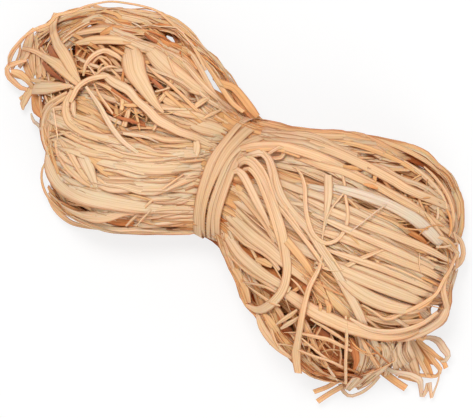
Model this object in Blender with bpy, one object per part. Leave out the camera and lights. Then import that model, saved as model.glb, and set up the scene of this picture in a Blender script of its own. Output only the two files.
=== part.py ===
"""Raffia bundle: a hank of raffia folded into a bow and tied at the waist.

Lengths in this file are millimetres until mesh_object() turns them into metres.
The hank lies along X: the small bow end is at -X, the large one at +X. Z is up,
and the underside rests on Z = 0.

A place inside the hank is named by three numbers:
  x     along the bundle, 0 at the waist
  u     across it, -1 at the front edge to +1 at the back edge
  level -1 on the underside, 0 at the widest height, +1 on the top
"""

import bpy
import numpy as np

MM = 0.001

# Driving dimensions.
WAIST_FLAT = 18.0          # half length of the straight stretch that the tie is wound on
GAP = 0.35                 # air left on each side of a face that touches its neighbour
EDGE = 0.97                # the share of the half width that the outermost locks reach
LOOPS = ("front", "front_mid", "middle", "back_mid", "back")
FOLD_OUTER = 25.0          # length of the fold at a bow end, outer face of the outer loop
FOLD_INNER = 9.0           # the same for its inner face
INNER_LEVEL = 0.52         # level of the face between an outer loop and its inner loop
CORNER_LEVEL = 0.93        # level of an outer loop's rounded long edges
TIE_TILT = -0.177          # the tie leans: x shift for each millimetre across
TIE_BOW = -7.5             # x shift of the tie where it crosses the top of the waist
EVEN_LARGE = 105.0         # length over which the large bow end's stations are evenly spread
EVEN_SMALL = 78.0          # the same for the small bow end
TIE_THICK = 1.3
TIE_PROUD = 0.4            # how far the inner face of a tie strand stands off the hank
TIE_START = 58.0           # angle round the waist at which a tie strand starts, under the knot
TIE_TURN = 352.0           # degrees that it runs round the waist
RIBBON_THICK = 0.9
KNOT_MIDDLE = (8.0, 22.0, 51.0)
KNOT_SIZE = (15.0, 12.0, 8.0)

# x, mid line, half width of the hank seen from above.
PLAN = (
    (-118, 3, 49), (-78, 2, 57), (-48, -2, 54), (-28, 0, 43), (-WAIST_FLAT, 0, 33.5),
    (WAIST_FLAT, 0, 33.5), (31, 0, 45), (50, -2, 57), (80, -7, 65), (118, -12, 64),
    (145, -14, 58),
)
# x, underside height, top height of the hank seen from the side.
PROFILE = (
    (-118, -1, 36), (-78, -1.5, 52), (-48, -1.5, 56), (-28, 1.5, 52),
    (-WAIST_FLAT, 4.5, 49), (WAIST_FLAT, 4.5, 49), (31, 1.5, 54), (55, -1.5, 62),
    (90, -1.5, 60), (125, -1, 46), (145, 0, 38),
)
WIDEST = 0.42              # share of the height at which the hank is widest
CROWN = 2.4                # how square the hank's section is above its widest height
BELLY = 5                  # the same below it; 2 would be an ellipse


def smooth(x, table, column):
    """A smooth curve through one column of a table whose first column is x."""
    rows = np.array(table, float)
    knots, values = rows[:, 0], rows[:, column]
    slopes = np.gradient(values, knots)
    flat = np.r_[False, np.diff(values) == 0] | np.r_[np.diff(values) == 0, False]
    slopes[flat] = 0
    x = np.clip(x, knots[0], knots[-1])
    k = np.clip(np.searchsorted(knots, x, side="right") - 1, 0, len(knots) - 2)
    width = knots[k + 1] - knots[k]
    t = (x - knots[k]) / width
    return ((1 + 2 * t) * (1 - t) ** 2 * values[k] + t * (1 - t) ** 2 * width * slopes[k]
            + t * t * (3 - 2 * t) * values[k + 1] + t * t * (t - 1) * width * slopes[k + 1])


def reach(side, u):
    """How far the bow end reaches from the waist at u, on the side -1 or +1."""
    if side > 0:
        return 145 - 32 * u * u
    return 119 + 12 * u - 35 * u * u


def lateral(x, u):
    """The place across the bundle, in millimetres."""
    return smooth(x, PLAN, 1) + u * smooth(x, PLAN, 2)


def heights(x, u):
    """Height of level 0, and the spans from there up to the top and down to the underside."""
    low, high = smooth(x, PROFILE, 1), smooth(x, PROFILE, 2)
    middle = low + WIDEST * (high - low)
    crown = (1 - np.abs(u) ** CROWN) ** (1 / CROWN)
    belly = (1 - np.abs(u) ** BELLY) ** (1 / BELLY)
    return middle, (high - middle) * crown, (middle - low) * belly


def body_point(share, side, u, level):
    """A point of the hank between the waist (share 0) and the start of a fold (share 1)."""
    fold_start = reach(side, u) - FOLD_OUTER
    even = EVEN_LARGE if side > 0 else EVEN_SMALL
    x = side * (even * share + (fold_start - even) * share ** 2.5)
    middle, up, down = heights(x, u)
    z = middle + level * (up if level > 0 else down)
    return np.array((x, lateral(x, u), max(z, 0.0)))


def fold_point(angle, side, u, level, radius):
    """A point of the fold at a bow end; angle runs from pi/2, on top, to -pi/2, below."""
    start = side * (reach(side, u) - FOLD_OUTER)
    x = start + side * radius * np.cos(angle)
    middle, up, down = heights(start, u)
    rise = np.sin(angle)
    z = middle + level * rise * (up if rise > 0 else down)
    return np.array((x, lateral(x, u), max(z, 0.0)))


SHARES = (WAIST_FLAT / EVEN_LARGE, 0.25, 0.36, 0.5, 0.66, 0.83, 1.0)
SHARES_SMALL_END = (WAIST_FLAT / EVEN_SMALL, 0.33, 0.46, 0.62, 0.8, 1.0)
FOLD_ANGLES = np.radians((60, 30, 0, -30, -60))
BODY = len(SHARES) + len(SHARES_SMALL_END)     # points of a loop path from fold to fold
FOLD = len(FOLD_ANGLES)                        # points of a loop path round one fold


def loop_path(u, level, radius):
    """The closed path of one layer of a loop: top, large fold, underside, small fold."""
    top = [body_point(s, -1, u, level) for s in reversed(SHARES_SMALL_END)]
    top += [body_point(s, 1, u, level) for s in SHARES]
    large = [fold_point(a, 1, u, level, radius) for a in FOLD_ANGLES]
    under = [body_point(s, 1, u, -level) for s in reversed(SHARES)]
    under += [body_point(s, -1, u, -level) for s in SHARES_SMALL_END]
    small = [fold_point(-a, -1, u, level, radius) for a in FOLD_ANGLES]
    return np.array(top + large + under + small)


def strip_faces(rows, columns, close_rows, close_columns):
    """Triangles of a grid of points, numbered row by row, all cut along the same diagonal."""
    faces = []
    for i in range(rows if close_rows else rows - 1):
        for j in range(columns if close_columns else columns - 1):
            a, b = i * columns + j, i * columns + (j + 1) % columns
            c, d = ((i + 1) % rows) * columns + j, ((i + 1) % rows) * columns + (j + 1) % columns
            faces += [(a, c, d), (a, d, b)]
    return faces


def clear(column):
    """The edges of a column of the hank as u, clear of its neighbours by GAP at the waist."""
    bounds = np.linspace(-EDGE, EDGE, len(LOOPS) + 1)
    air = GAP / smooth(0.0, PLAN, 2)
    return bounds[column] + air, bounds[column + 1] - air


def outer_loop(column):
    """A lock folded round both bow ends: a closed belt with a rounded outer face."""
    low, high = clear(column)
    wide = high - low
    outer = [(low, CORNER_LEVEL), (low + 0.22 * wide, 1.0), (low + 0.5 * wide, 1.0),
             (high - 0.22 * wide, 1.0), (high, CORNER_LEVEL)]
    inner = [(high, INNER_LEVEL), (0.5 * (low + high), INNER_LEVEL), (low, INNER_LEVEL)]
    rails = [loop_path(u, level, FOLD_OUTER * (0.5 + 0.5 * level) if level < 1 else FOLD_OUTER)
             for u, level in outer]
    rails += [loop_path(u, level, FOLD_INNER) for u, level in inner]
    points = np.stack(rails, axis=1)
    rows, columns = points.shape[:2]
    return points.reshape(-1, 3), strip_faces(rows, columns, True, True)


def inner_loop(column):
    """The lock that lies inside an outer loop: a flattened loop pressed shut."""
    low, high = clear(column)
    shrink = inward_steps()
    rails = [loop_path(u, INNER_LEVEL, FOLD_INNER) + shrink
             for u in (low, 0.5 * (low + high), high)]
    points = np.stack(rails, axis=1)
    rows, columns = points.shape[:2]
    faces = strip_faces(rows, columns, True, False) + side_walls(columns)
    return points.reshape(-1, 3), faces


def inward_steps():
    """The step of each point of a loop path away from the outer loop, towards the middle."""
    air = 3 * GAP
    lean = np.array((1, 0.7, 0, -0.7, -1))[:, None] * (0, 0, -air)
    flat = np.ones((BODY, 1))
    return np.vstack((flat * (0, 0, -air), lean + (-air, 0, 0),
                      flat * (0, 0, air), -lean + (air, 0, 0)))


def side_walls(columns):
    """Triangles that close both sides of an inner loop, from its small tip to its large tip."""
    small_tip = 2 * BODY + FOLD + FOLD // 2
    rows = 2 * (BODY + FOLD)
    large_tip = small_tip + rows // 2
    upper = [i % rows for i in range(small_tip, large_tip)]
    lower = [i % rows for i in range(small_tip, small_tip - rows // 2, -1)]
    faces = []
    for edge, turn in ((0, 1), (columns - 1, -1)):
        above = [i * columns + edge for i in upper]
        below = [i * columns + edge for i in lower]
        faces.append((above[0], below[1], above[1])[::turn])
        for k in range(1, len(above) - 1):
            faces.append((above[k], below[k], below[k + 1])[::turn])
            faces.append((above[k], below[k + 1], above[k + 1])[::turn])
        faces.append((above[-1], below[-1], large_tip % rows * columns + edge)[::turn])
    return faces


def tie_wrap(place, width):
    """A strand wound once round the waist at x = place, its ends butting under the knot."""
    angle = np.radians(np.linspace(TIE_START, TIE_START - TIE_TURN, 41))
    half_wide = smooth(0.0, PLAN, 2) + GAP
    low, high = smooth(0.0, PROFILE, 1), smooth(0.0, PROFILE, 2)
    middle = low + WIDEST * (high - low)
    outward = []
    for a in angle:
        power = CROWN if np.sin(a) > 0 else BELLY
        tall = (high if np.sin(a) > 0 else 2 * middle - low) - middle + GAP
        size = ((abs(np.cos(a)) / half_wide) ** power + (abs(np.sin(a)) / tall) ** power)
        outward.append(size ** (-1 / power))
    outward = np.array(outward) + TIE_PROUD
    ring = []
    for offset, out in ((-0.5, 0), (-0.3, 1), (0.3, 1), (0.5, 0)):
        radius = outward + out * TIE_THICK
        y, z = radius * np.cos(angle), middle + radius * np.sin(angle)
        x = place + offset * width + TIE_TILT * y + TIE_BOW * np.maximum(np.sin(angle), 0)
        ring.append(np.stack((x, y, z), axis=1))
    return capped_tube(np.stack(ring, axis=1))


def capped_tube(points):
    """A tube through rows of section points, closed flat at both ends."""
    rows, columns = points.shape[:2]
    faces = strip_faces(rows, columns, False, True)
    last = (rows - 1) * columns
    for j in range(1, columns - 1):
        faces.append((0, j, j + 1))
        faces.append((last, last + j + 1, last + j))
    return points.reshape(-1, 3), faces


def top_height(x, y):
    """Height of the hank's top face above a place on the table, 0 outside the hank."""
    u = np.clip((y - smooth(x, PLAN, 1)) / smooth(x, PLAN, 2), -EDGE, EDGE)
    side = 1 if x > 0 else -1
    beyond = np.clip(side * x - (reach(side, u) - FOLD_OUTER), 0, FOLD_OUTER) / FOLD_OUTER
    middle, up, _ = heights(x, u)
    return middle + up * np.sqrt(1 - beyond ** 2)


def ribbon(route, width, steps=3):
    """A flat strand of raffia through hand-set points (x, y, z, roll in degrees)."""
    route = np.array(route, float)
    knots = np.arange(len(route))
    fine = np.linspace(0, len(route) - 1, steps * (len(route) - 1) + 1)
    path = np.stack([smooth(fine, np.stack((knots, column), axis=1), 1)
                     for column in route.T], axis=1)
    centre, roll = path[:, :3], np.radians(path[:, 3])
    along = np.gradient(centre, axis=0)
    along /= np.linalg.norm(along, axis=1)[:, None]
    across = np.cross((0, 0, 1), along)
    across /= np.linalg.norm(across, axis=1)[:, None]
    up = np.cross(along, across)
    flat = np.cos(roll)[:, None] * across + np.sin(roll)[:, None] * up
    normal = np.cross(along, flat)
    ring = [centre + 0.5 * (i * width * flat + j * RIBBON_THICK * normal)
            for i, j in ((1, -1), (1, 1), (-1, 1), (-1, -1))]
    return capped_tube(np.stack(ring, axis=1))


def laid_on_top(route, lift):
    """Fills in each height of None in a route: the hank's top height there, plus lift."""
    return [(x, y, top_height(x, y) + lift if z is None else z, roll) for x, y, z, roll in route]


def knot_lump(centre, size):
    """The knot: an egg shape with the diagonal furrows of a strand pulled through itself."""
    across, around = np.meshgrid(np.linspace(0, np.pi, 9), np.linspace(0, 2 * np.pi, 17)[:-1],
                                 indexing="ij")
    swell = 1 + 0.12 * np.cos(3 * around + 4 * across) * np.sin(across) ** 2
    shape = np.stack((np.cos(across), swell * np.sin(across) * np.cos(around),
                      swell * np.sin(across) * np.sin(around)), axis=2)
    points = np.array(centre) + 0.5 * np.array(size) * shape
    rows, columns = points.shape[:2]
    body = points[1:-1]
    faces = strip_faces(rows - 2, columns, False, True)
    tips = [points[0, 0], points[-1, 0]]
    first, last = (rows - 2) * columns, (rows - 3) * columns
    for j in range(columns):
        after = (j + 1) % columns
        faces.append((first, j, after))
        faces.append((first + 1, last + after, last + j))
    return np.vstack((body.reshape(-1, 3), tips)), faces


def raffia_material(name, colour):
    """Dry palm fibre: pale straw, half matt."""
    material = bpy.data.materials.new(name)
    material.use_nodes = True
    shader = material.node_tree.nodes["Principled BSDF"]
    shader.inputs["Base Color"].default_value = (*colour, 1)
    shader.inputs["Roughness"].default_value = 0.6
    shader.inputs["Metallic"].default_value = 0.0
    return material


def mesh_object(name, shape, material):
    """A named object from points in millimetres and triangles, its faces turned outwards."""
    points, faces = shape
    faces = np.array(faces)
    corner = points[faces] - points.mean(axis=0)
    if np.linalg.det(corner).sum() < 0:
        faces = faces[:, ::-1]
    mesh = bpy.data.meshes.new(name)
    mesh.from_pydata((points * MM).tolist(), [], faces.tolist())
    mesh.shade_smooth()
    mesh.set_sharp_from_angle(angle=np.radians(40))
    mesh.materials.append(material)
    made = bpy.data.objects.new(name, mesh)
    bpy.context.scene.collection.objects.link(made)
    return made


# place along x and width of each strand of the tie
TIE_WRAPS = ((-2.5, 5.4), (1.9, 2.4), (5.6, 4.0), (9.6, 3.2))

# name, width, lift over the hank, and the route (x, y) of each tail of the tie
TAILS = (
    ("tail_long", 5.5, 2.4, ((17, 20), (25, 12), (36, 0), (52, -9), (67, -17), (83, -26),
                             (96, -34))),
    ("tail_curved", 5.0, 4.8, ((18, 11), (28, 3), (40, -7), (50, -19), (55, -32), (53, -46))),
    ("tail_loop", 3.0, 6.0, ((34, 27), (40, 14), (51, 2), (62, -5), (69, 0), (69, 14),
                             (62, 28))),
    ("tail_short", 4.5, 4.4, ((50, 29), (55, 17), (60, 7))),
    ("tail_cross", 3.5, 4.2, ((92, 6), (86, -5), (79, -14), (70, -21))),
    ("tail_back", 6.0, 2.4, ((19, 24), (32, 27), (48, 26), (66, 20))),
)

# name, width, lift over the hank, and the route of each strand that leaves the bow, as
# (x, y, height, roll); a height of None lies on the hank
LOOSE = (
    ("strand_outer_arc", 2.6, 0, ((-110, -29, 22, 0), (-125, -17, 24, 20), (-134.5, 2, 26, 60),
                                  (-131, 20, 27, 60), (-121, 38, 28, 50), (-104, 53, 29, 50),
                                  (-82, 62.5, 30, 50), (-60, 60, 31, 50))),
    ("strand_tip_curl", 4.5, 0, ((-120, 2, 10, 40), (-129, -3, 13, 60), (-129, -11, 12, 40),
                                 (-119, -16, 10, 20), (-113, -14, 7, 0))),
    ("strand_small_edge", 3.0, 0, ((-89, -33, 5, 10), (-91, -43, 8, 50), (-84, -53, 8, 50),
                                   (-70, -60.5, 8, 50), (-50, -60.5, 8, 50))),
    ("strand_dangling", 5.0, 7.4, ((66, -12, None, 0), (69, -30, None, 0), (73, -46, None, 0),
                                   (77, -61, 56, 0), (81, -76, 36, 0), (84, -82, 12, 0))),
    ("strand_cut_front", 4.5, 0, ((113.5, -69, 7, 10), (108, -76, 7, 10), (100, -84, 4, 0))),
    ("strand_cut_corner", 4.5, 0, ((121, -62, 8, 0), (129, -62, 8, 0), (137, -58, 4, 0))),
    ("strand_end_loops", 3.5, 0, ((131, -51, 6, 0), (137, -57, 9, 40), (145, -62, 10, 60),
                                  (152, -60, 7, 40), (156, -52, 5, 30))),
    ("strand_pale_loop", 6.0, 0, ((143, -22, 5, 10), (151, -21, 10, 40), (158, -27, 13, 50),
                                  (157, -36, 9, 30), (151, -42, 5, 10))),
)


def build():
    """Makes every piece of the bundle."""
    straw = raffia_material("raffia_hank", (0.72, 0.47, 0.26))
    pale = raffia_material("raffia_tie", (0.78, 0.52, 0.31))
    loose = raffia_material("raffia_loose", (0.76, 0.50, 0.28))
    for column, place in enumerate(LOOPS):
        mesh_object(f"outer_loop_{place}", outer_loop(column), straw)
        mesh_object(f"inner_loop_{place}", inner_loop(column), straw)
    for number, (place, width) in enumerate(TIE_WRAPS, 1):
        mesh_object(f"tie_wrap_{number}", tie_wrap(place, width), pale)
    mesh_object("tie_knot", knot_lump(KNOT_MIDDLE, KNOT_SIZE), pale)
    for name, width, lift, route in TAILS:
        lying = [(x, y, None, 0) for x, y in route]
        mesh_object(name, ribbon(laid_on_top(lying, lift), width), loose)
    for name, width, lift, route in LOOSE:
        mesh_object(name, ribbon(laid_on_top(route, lift), width), loose)


def centre_on_table():
    """Moves every mesh so that the middle of the bundle's base is the origin."""
    meshes = [made.data for made in bpy.context.scene.objects]
    corners = np.array([vertex.co for mesh in meshes for vertex in mesh.vertices])
    low, high = corners.min(axis=0), corners.max(axis=0)
    shift = np.array((-(low[0] + high[0]) / 2, -(low[1] + high[1]) / 2, -low[2]))
    for mesh in meshes:
        places = np.array([vertex.co for vertex in mesh.vertices]) + shift
        mesh.vertices.foreach_set("co", places.ravel())


for leftover in list(bpy.data.objects):
    bpy.data.objects.remove(leftover, do_unlink=True)
build()
centre_on_table()
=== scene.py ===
"""Raffia bundle: the looks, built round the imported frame.

Lengths here are millimetres until ribbon_piece() turns them into metres. Places are
measured from the waist: x along the bundle (the small bow end is at -x), y across it
(the knot is on the +y side) and z up from the table. A place in the hank is also given as
u, from -1 to 1 across it, and level, from -1 at its underside to 1 at its top.

Every strand is a flat ribbon of split palm leaf: a thin section, which can curl or crease
along its middle, carried along a path. Strands that run together are one array, one row
for each strand.
"""

import bpy
import numpy as np
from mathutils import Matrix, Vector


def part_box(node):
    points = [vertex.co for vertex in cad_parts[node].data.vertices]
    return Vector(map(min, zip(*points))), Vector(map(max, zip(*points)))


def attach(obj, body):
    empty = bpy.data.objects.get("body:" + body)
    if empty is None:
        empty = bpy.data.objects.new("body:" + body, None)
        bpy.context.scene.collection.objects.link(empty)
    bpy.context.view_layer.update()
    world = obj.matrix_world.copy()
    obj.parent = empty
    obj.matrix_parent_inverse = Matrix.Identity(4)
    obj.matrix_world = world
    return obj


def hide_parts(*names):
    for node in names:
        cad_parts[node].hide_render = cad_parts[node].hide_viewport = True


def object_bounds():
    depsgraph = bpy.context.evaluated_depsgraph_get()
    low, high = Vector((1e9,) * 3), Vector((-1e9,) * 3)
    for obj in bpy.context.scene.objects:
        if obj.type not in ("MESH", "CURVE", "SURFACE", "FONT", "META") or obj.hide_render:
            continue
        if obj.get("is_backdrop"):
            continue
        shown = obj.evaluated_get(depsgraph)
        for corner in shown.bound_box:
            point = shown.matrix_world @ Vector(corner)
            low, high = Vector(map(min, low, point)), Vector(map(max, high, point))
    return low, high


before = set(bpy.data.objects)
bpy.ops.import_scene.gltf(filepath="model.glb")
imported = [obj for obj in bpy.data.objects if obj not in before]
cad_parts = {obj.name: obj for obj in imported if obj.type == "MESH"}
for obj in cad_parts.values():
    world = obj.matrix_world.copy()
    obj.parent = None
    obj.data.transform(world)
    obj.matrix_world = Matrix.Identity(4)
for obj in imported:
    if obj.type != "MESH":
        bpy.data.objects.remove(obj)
CAD_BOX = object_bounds()

MM = 0.001
SMALL, LARGE = -1, 1       # the two bow ends, as the sign of x
KNOT_PLACE = (8.0, 22.0)   # the knot's middle, measured from the waist


def waist_in_frame():
    """The waist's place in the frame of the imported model, read from where the knot is."""
    low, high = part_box("tie_knot")
    middle = 0.5 * (np.array(low) + np.array(high))
    return np.array((middle[0] - KNOT_PLACE[0] * MM, middle[1] - KNOT_PLACE[1] * MM, 0.0))


WAIST = waist_in_frame()


# ---------------------------------------------------------------- the hank's volume

WAIST_FLAT = 18.0          # half length of the straight stretch that the tie is wound on
FOLD_OUTER = 25.0          # length of the fold at a bow end
WIDEST = 0.42              # share of the height at which the hank is widest
TOP_SQUARE = 2.4           # how square the hank's top is across; 2 is an ellipse
BELLY_SQUARE = 5.0         # the same of its underside
EDGE = 0.97                # share of the half width where the top face ends
LEAST_TOP = 2.0            # height of a strip that lies on the table beside the hank
PRESSED_TO = 9.0           # up to here from the waist the tie presses all strands flat
PRESSED_BY = 0.4           # how far it presses them below the hank's top face
LIFT_BACK = 18.0           # the distance over which their own lift comes back

# x, mid line, half width of the hank seen from above.
PLAN = np.array((
    (-118, 3, 49), (-78, 2.5, 56), (-48, -2, 54), (-28, -3, 46), (-WAIST_FLAT, -3.5, 40),
    (0, 0.7, 34.6), (WAIST_FLAT, 2.4, 38.1), (31, 2, 45), (50, -0.3, 55.3), (80, -5, 62.5),
    (118, -8.5, 61), (145, -12, 57)), float)
# x, underside height, top height of the hank seen from the side.
PROFILE = np.array((
    (-118, -1, 36), (-78, -1.5, 52), (-48, -1.5, 56), (-28, 1.5, 52),
    (-WAIST_FLAT, 4.5, 49), (WAIST_FLAT, 4.5, 49), (31, 1.5, 54), (55, -1.5, 62),
    (90, -1.5, 60), (125, -1, 46), (145, 0, 38)), float)
# How far each bow end reaches from the waist: on its middle, for each u, for each u squared.
REACH = {SMALL: (119, 12, -35), LARGE: (145, 0, -32)}
# Where each bow end starts to round off, and how gently, for the way that strands face.
ROUNDS_FROM = {SMALL: 75, LARGE: 100}
ROUND_END = 40


def smooth(x, table, column):
    """A smooth curve through one column of a table whose first column is x: cubic pieces
    whose slope at each knot is the mean slope there, and zero beside a level stretch."""
    knots, values = table[:, 0], table[:, column]
    slopes = np.gradient(values, knots)
    level = np.r_[False, np.diff(values) == 0] | np.r_[np.diff(values) == 0, False]
    slopes[level] = 0
    x = np.clip(x, knots[0], knots[-1])
    k = np.clip(np.searchsorted(knots, x, side="right") - 1, 0, len(knots) - 2)
    width = knots[k + 1] - knots[k]
    t = (x - knots[k]) / width
    return ((1 + 2 * t) * (1 - t) ** 2 * values[k] + t * (1 - t) ** 2 * width * slopes[k]
            + t * t * (3 - 2 * t) * values[k + 1] + t * t * (t - 1) * width * slopes[k + 1])


def ease(t):
    """0 below 0, 1 above 1, and a smooth step between."""
    t = np.clip(t, 0, 1)
    return t * t * (3 - 2 * t)


def middle_line(x):
    """How far across the hank's middle line lies at x."""
    return smooth(x, PLAN, 1)


def half_width(x):
    """Half the hank's width at x."""
    return smooth(x, PLAN, 2)


def share_across(x, y):
    """u: the place across the hank, 0 on its middle line and -1 and 1 at its edges."""
    return (y - middle_line(x)) / half_width(x)


def reach(side, u):
    """How far a bow end reaches from the waist: a parabola in u."""
    middle, lean, droop = REACH[side]
    return middle + lean * u + droop * u * u


def heights(x, u):
    """Height of level 0, and the spans from there up to the top and down to the underside:
    both are rounded squares, (1 - u^p)^(1/p) of their span on the middle line."""
    low, high = smooth(x, PROFILE, 1), smooth(x, PROFILE, 2)
    middle = low + WIDEST * (high - low)
    u = np.clip(np.abs(u), 0, 1)
    crown = (1 - u ** TOP_SQUARE) ** (1 / TOP_SQUARE)
    belly = (1 - u ** BELLY_SQUARE) ** (1 / BELLY_SQUARE)
    return middle, (high - middle) * crown, (middle - low) * belly


def in_hank(side, x, u, level):
    """The point of the hank at x, u and level; past the start of a fold the height stays."""
    u = np.clip(u, -1, 1)
    start = reach(side, u) - FOLD_OUTER
    held = side * np.minimum(side * x, start)
    middle, up, down = heights(held, u)
    y = middle_line(x) + u * half_width(x)
    z = middle + level * np.where(level > 0, up, down)
    return np.stack((x, y, z), axis=-1)


def top_height(x, y):
    """Height of the hank's top face above a place on the table. It rounds down over the fold
    of a bow end as a quarter circle, and falls away by 0.8 for each millimetre past its edge."""
    u = share_across(x, y)
    inner = np.clip(u, -EDGE, EDGE)
    side = np.where(x > 0, LARGE, SMALL)
    end = np.where(x > 0, reach(LARGE, inner), reach(SMALL, inner))
    beyond = np.clip(side * x - (end - FOLD_OUTER), 0, FOLD_OUTER) / FOLD_OUTER
    middle, up, _ = heights(x, inner)
    past = (np.clip(np.abs(u) - EDGE, 0, None) * half_width(x)
            + np.clip(side * x - end, 0, None))
    return np.maximum(middle + up * np.sqrt(1 - beyond ** 2) - 0.8 * past, LEAST_TOP)


def outward(points):
    """The direction away from the hank's middle at each point, as on an egg-shaped body:
    each distance from the middle over the square of the half size that way. The middle
    lies at 0.9 of half the height, and along the hank only its rounded ends count."""
    x, y, z = np.moveaxis(points, -1, 0)
    straight = np.where(x > 0, ROUNDS_FROM[LARGE], ROUNDS_FROM[SMALL])
    over = np.sign(x) * np.clip(np.abs(x) - straight, 0, None)
    tall = 0.5 * (smooth(x, PROFILE, 2) - smooth(x, PROFILE, 1))
    away = np.stack((over / ROUND_END ** 2, (y - middle_line(x)) / half_width(x) ** 2,
                     (z - 0.9 * tall) / tall ** 2), axis=-1)
    return away / (np.linalg.norm(away, axis=-1, keepdims=True) + 1e-9)


def skyward(points, share):
    """The outward direction, never downward, leaned towards straight up by a share, for
    strips that lie on the hank under their own weight."""
    away = outward(points)
    away[..., 2] = np.maximum(away[..., 2], 0) + share
    return away


def held_on_hank(side, x, y, edge, nearest, margin):
    """Paths held on the hank: u between -edge and edge, and x no nearer to the waist than
    `nearest` and no nearer to the bow end than `margin`."""
    u = share_across(x, y)
    y = middle_line(x) + np.clip(u, -edge, edge) * half_width(x)
    return side * np.clip(side * x, nearest, reach(side, u) - margin), y


def pulled_in(lift, x):
    """A lift over the hank that dies out towards the tie, where all strands are pressed flat."""
    far = ease((np.abs(x) - PRESSED_TO) / LIFT_BACK)
    return lift * far - PRESSED_BY * (1 - far)


# ---------------------------------------------------------------- chance

FIBRE_SHARE = 0.25         # share of the strands that are bare fibres
FIBRE_WIDTHS = (0.5, 1.1)
LEAF_WIDTHS = (0.9, 9.0)


def dice(name):
    """A random generator of its own for each piece, so that one piece never changes another."""
    return np.random.default_rng([ord(letter) for letter in name])


def wander(rng, count, along, waves=4):
    """Gentle random curves, one row for each strand: sine waves of rising pitch and falling
    size with random phases. `along` is the place on the strand in wavelengths of the first."""
    total = 0
    for wave in range(1, waves + 1):
        phase = rng.uniform(0, 2 * np.pi, (count, 1))
        size = rng.normal(0, 1, (count, 1)) / wave ** 1.2
        total = total + size * np.sin(2 * np.pi * wave ** 0.8 * along + phase)
    return 0.7 * total


def strand_widths(rng, count, middle):
    """Widths of split leaf: about one in four a bare fibre, now and then a wide strip."""
    wide = np.clip(middle * np.exp(rng.normal(0, 0.42, (count, 1))), *LEAF_WIDTHS)
    bare = rng.random((count, 1)) < FIBRE_SHARE
    return np.where(bare, rng.uniform(*FIBRE_WIDTHS, (count, 1)), wide)


# ---------------------------------------------------------------- gaps

# The height above which the strands part: those on top, or all of them down to the table.
UPPER, THROUGH = 18, -20
GAP_SOFT = 14.0            # height over which the parting sets in
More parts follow.
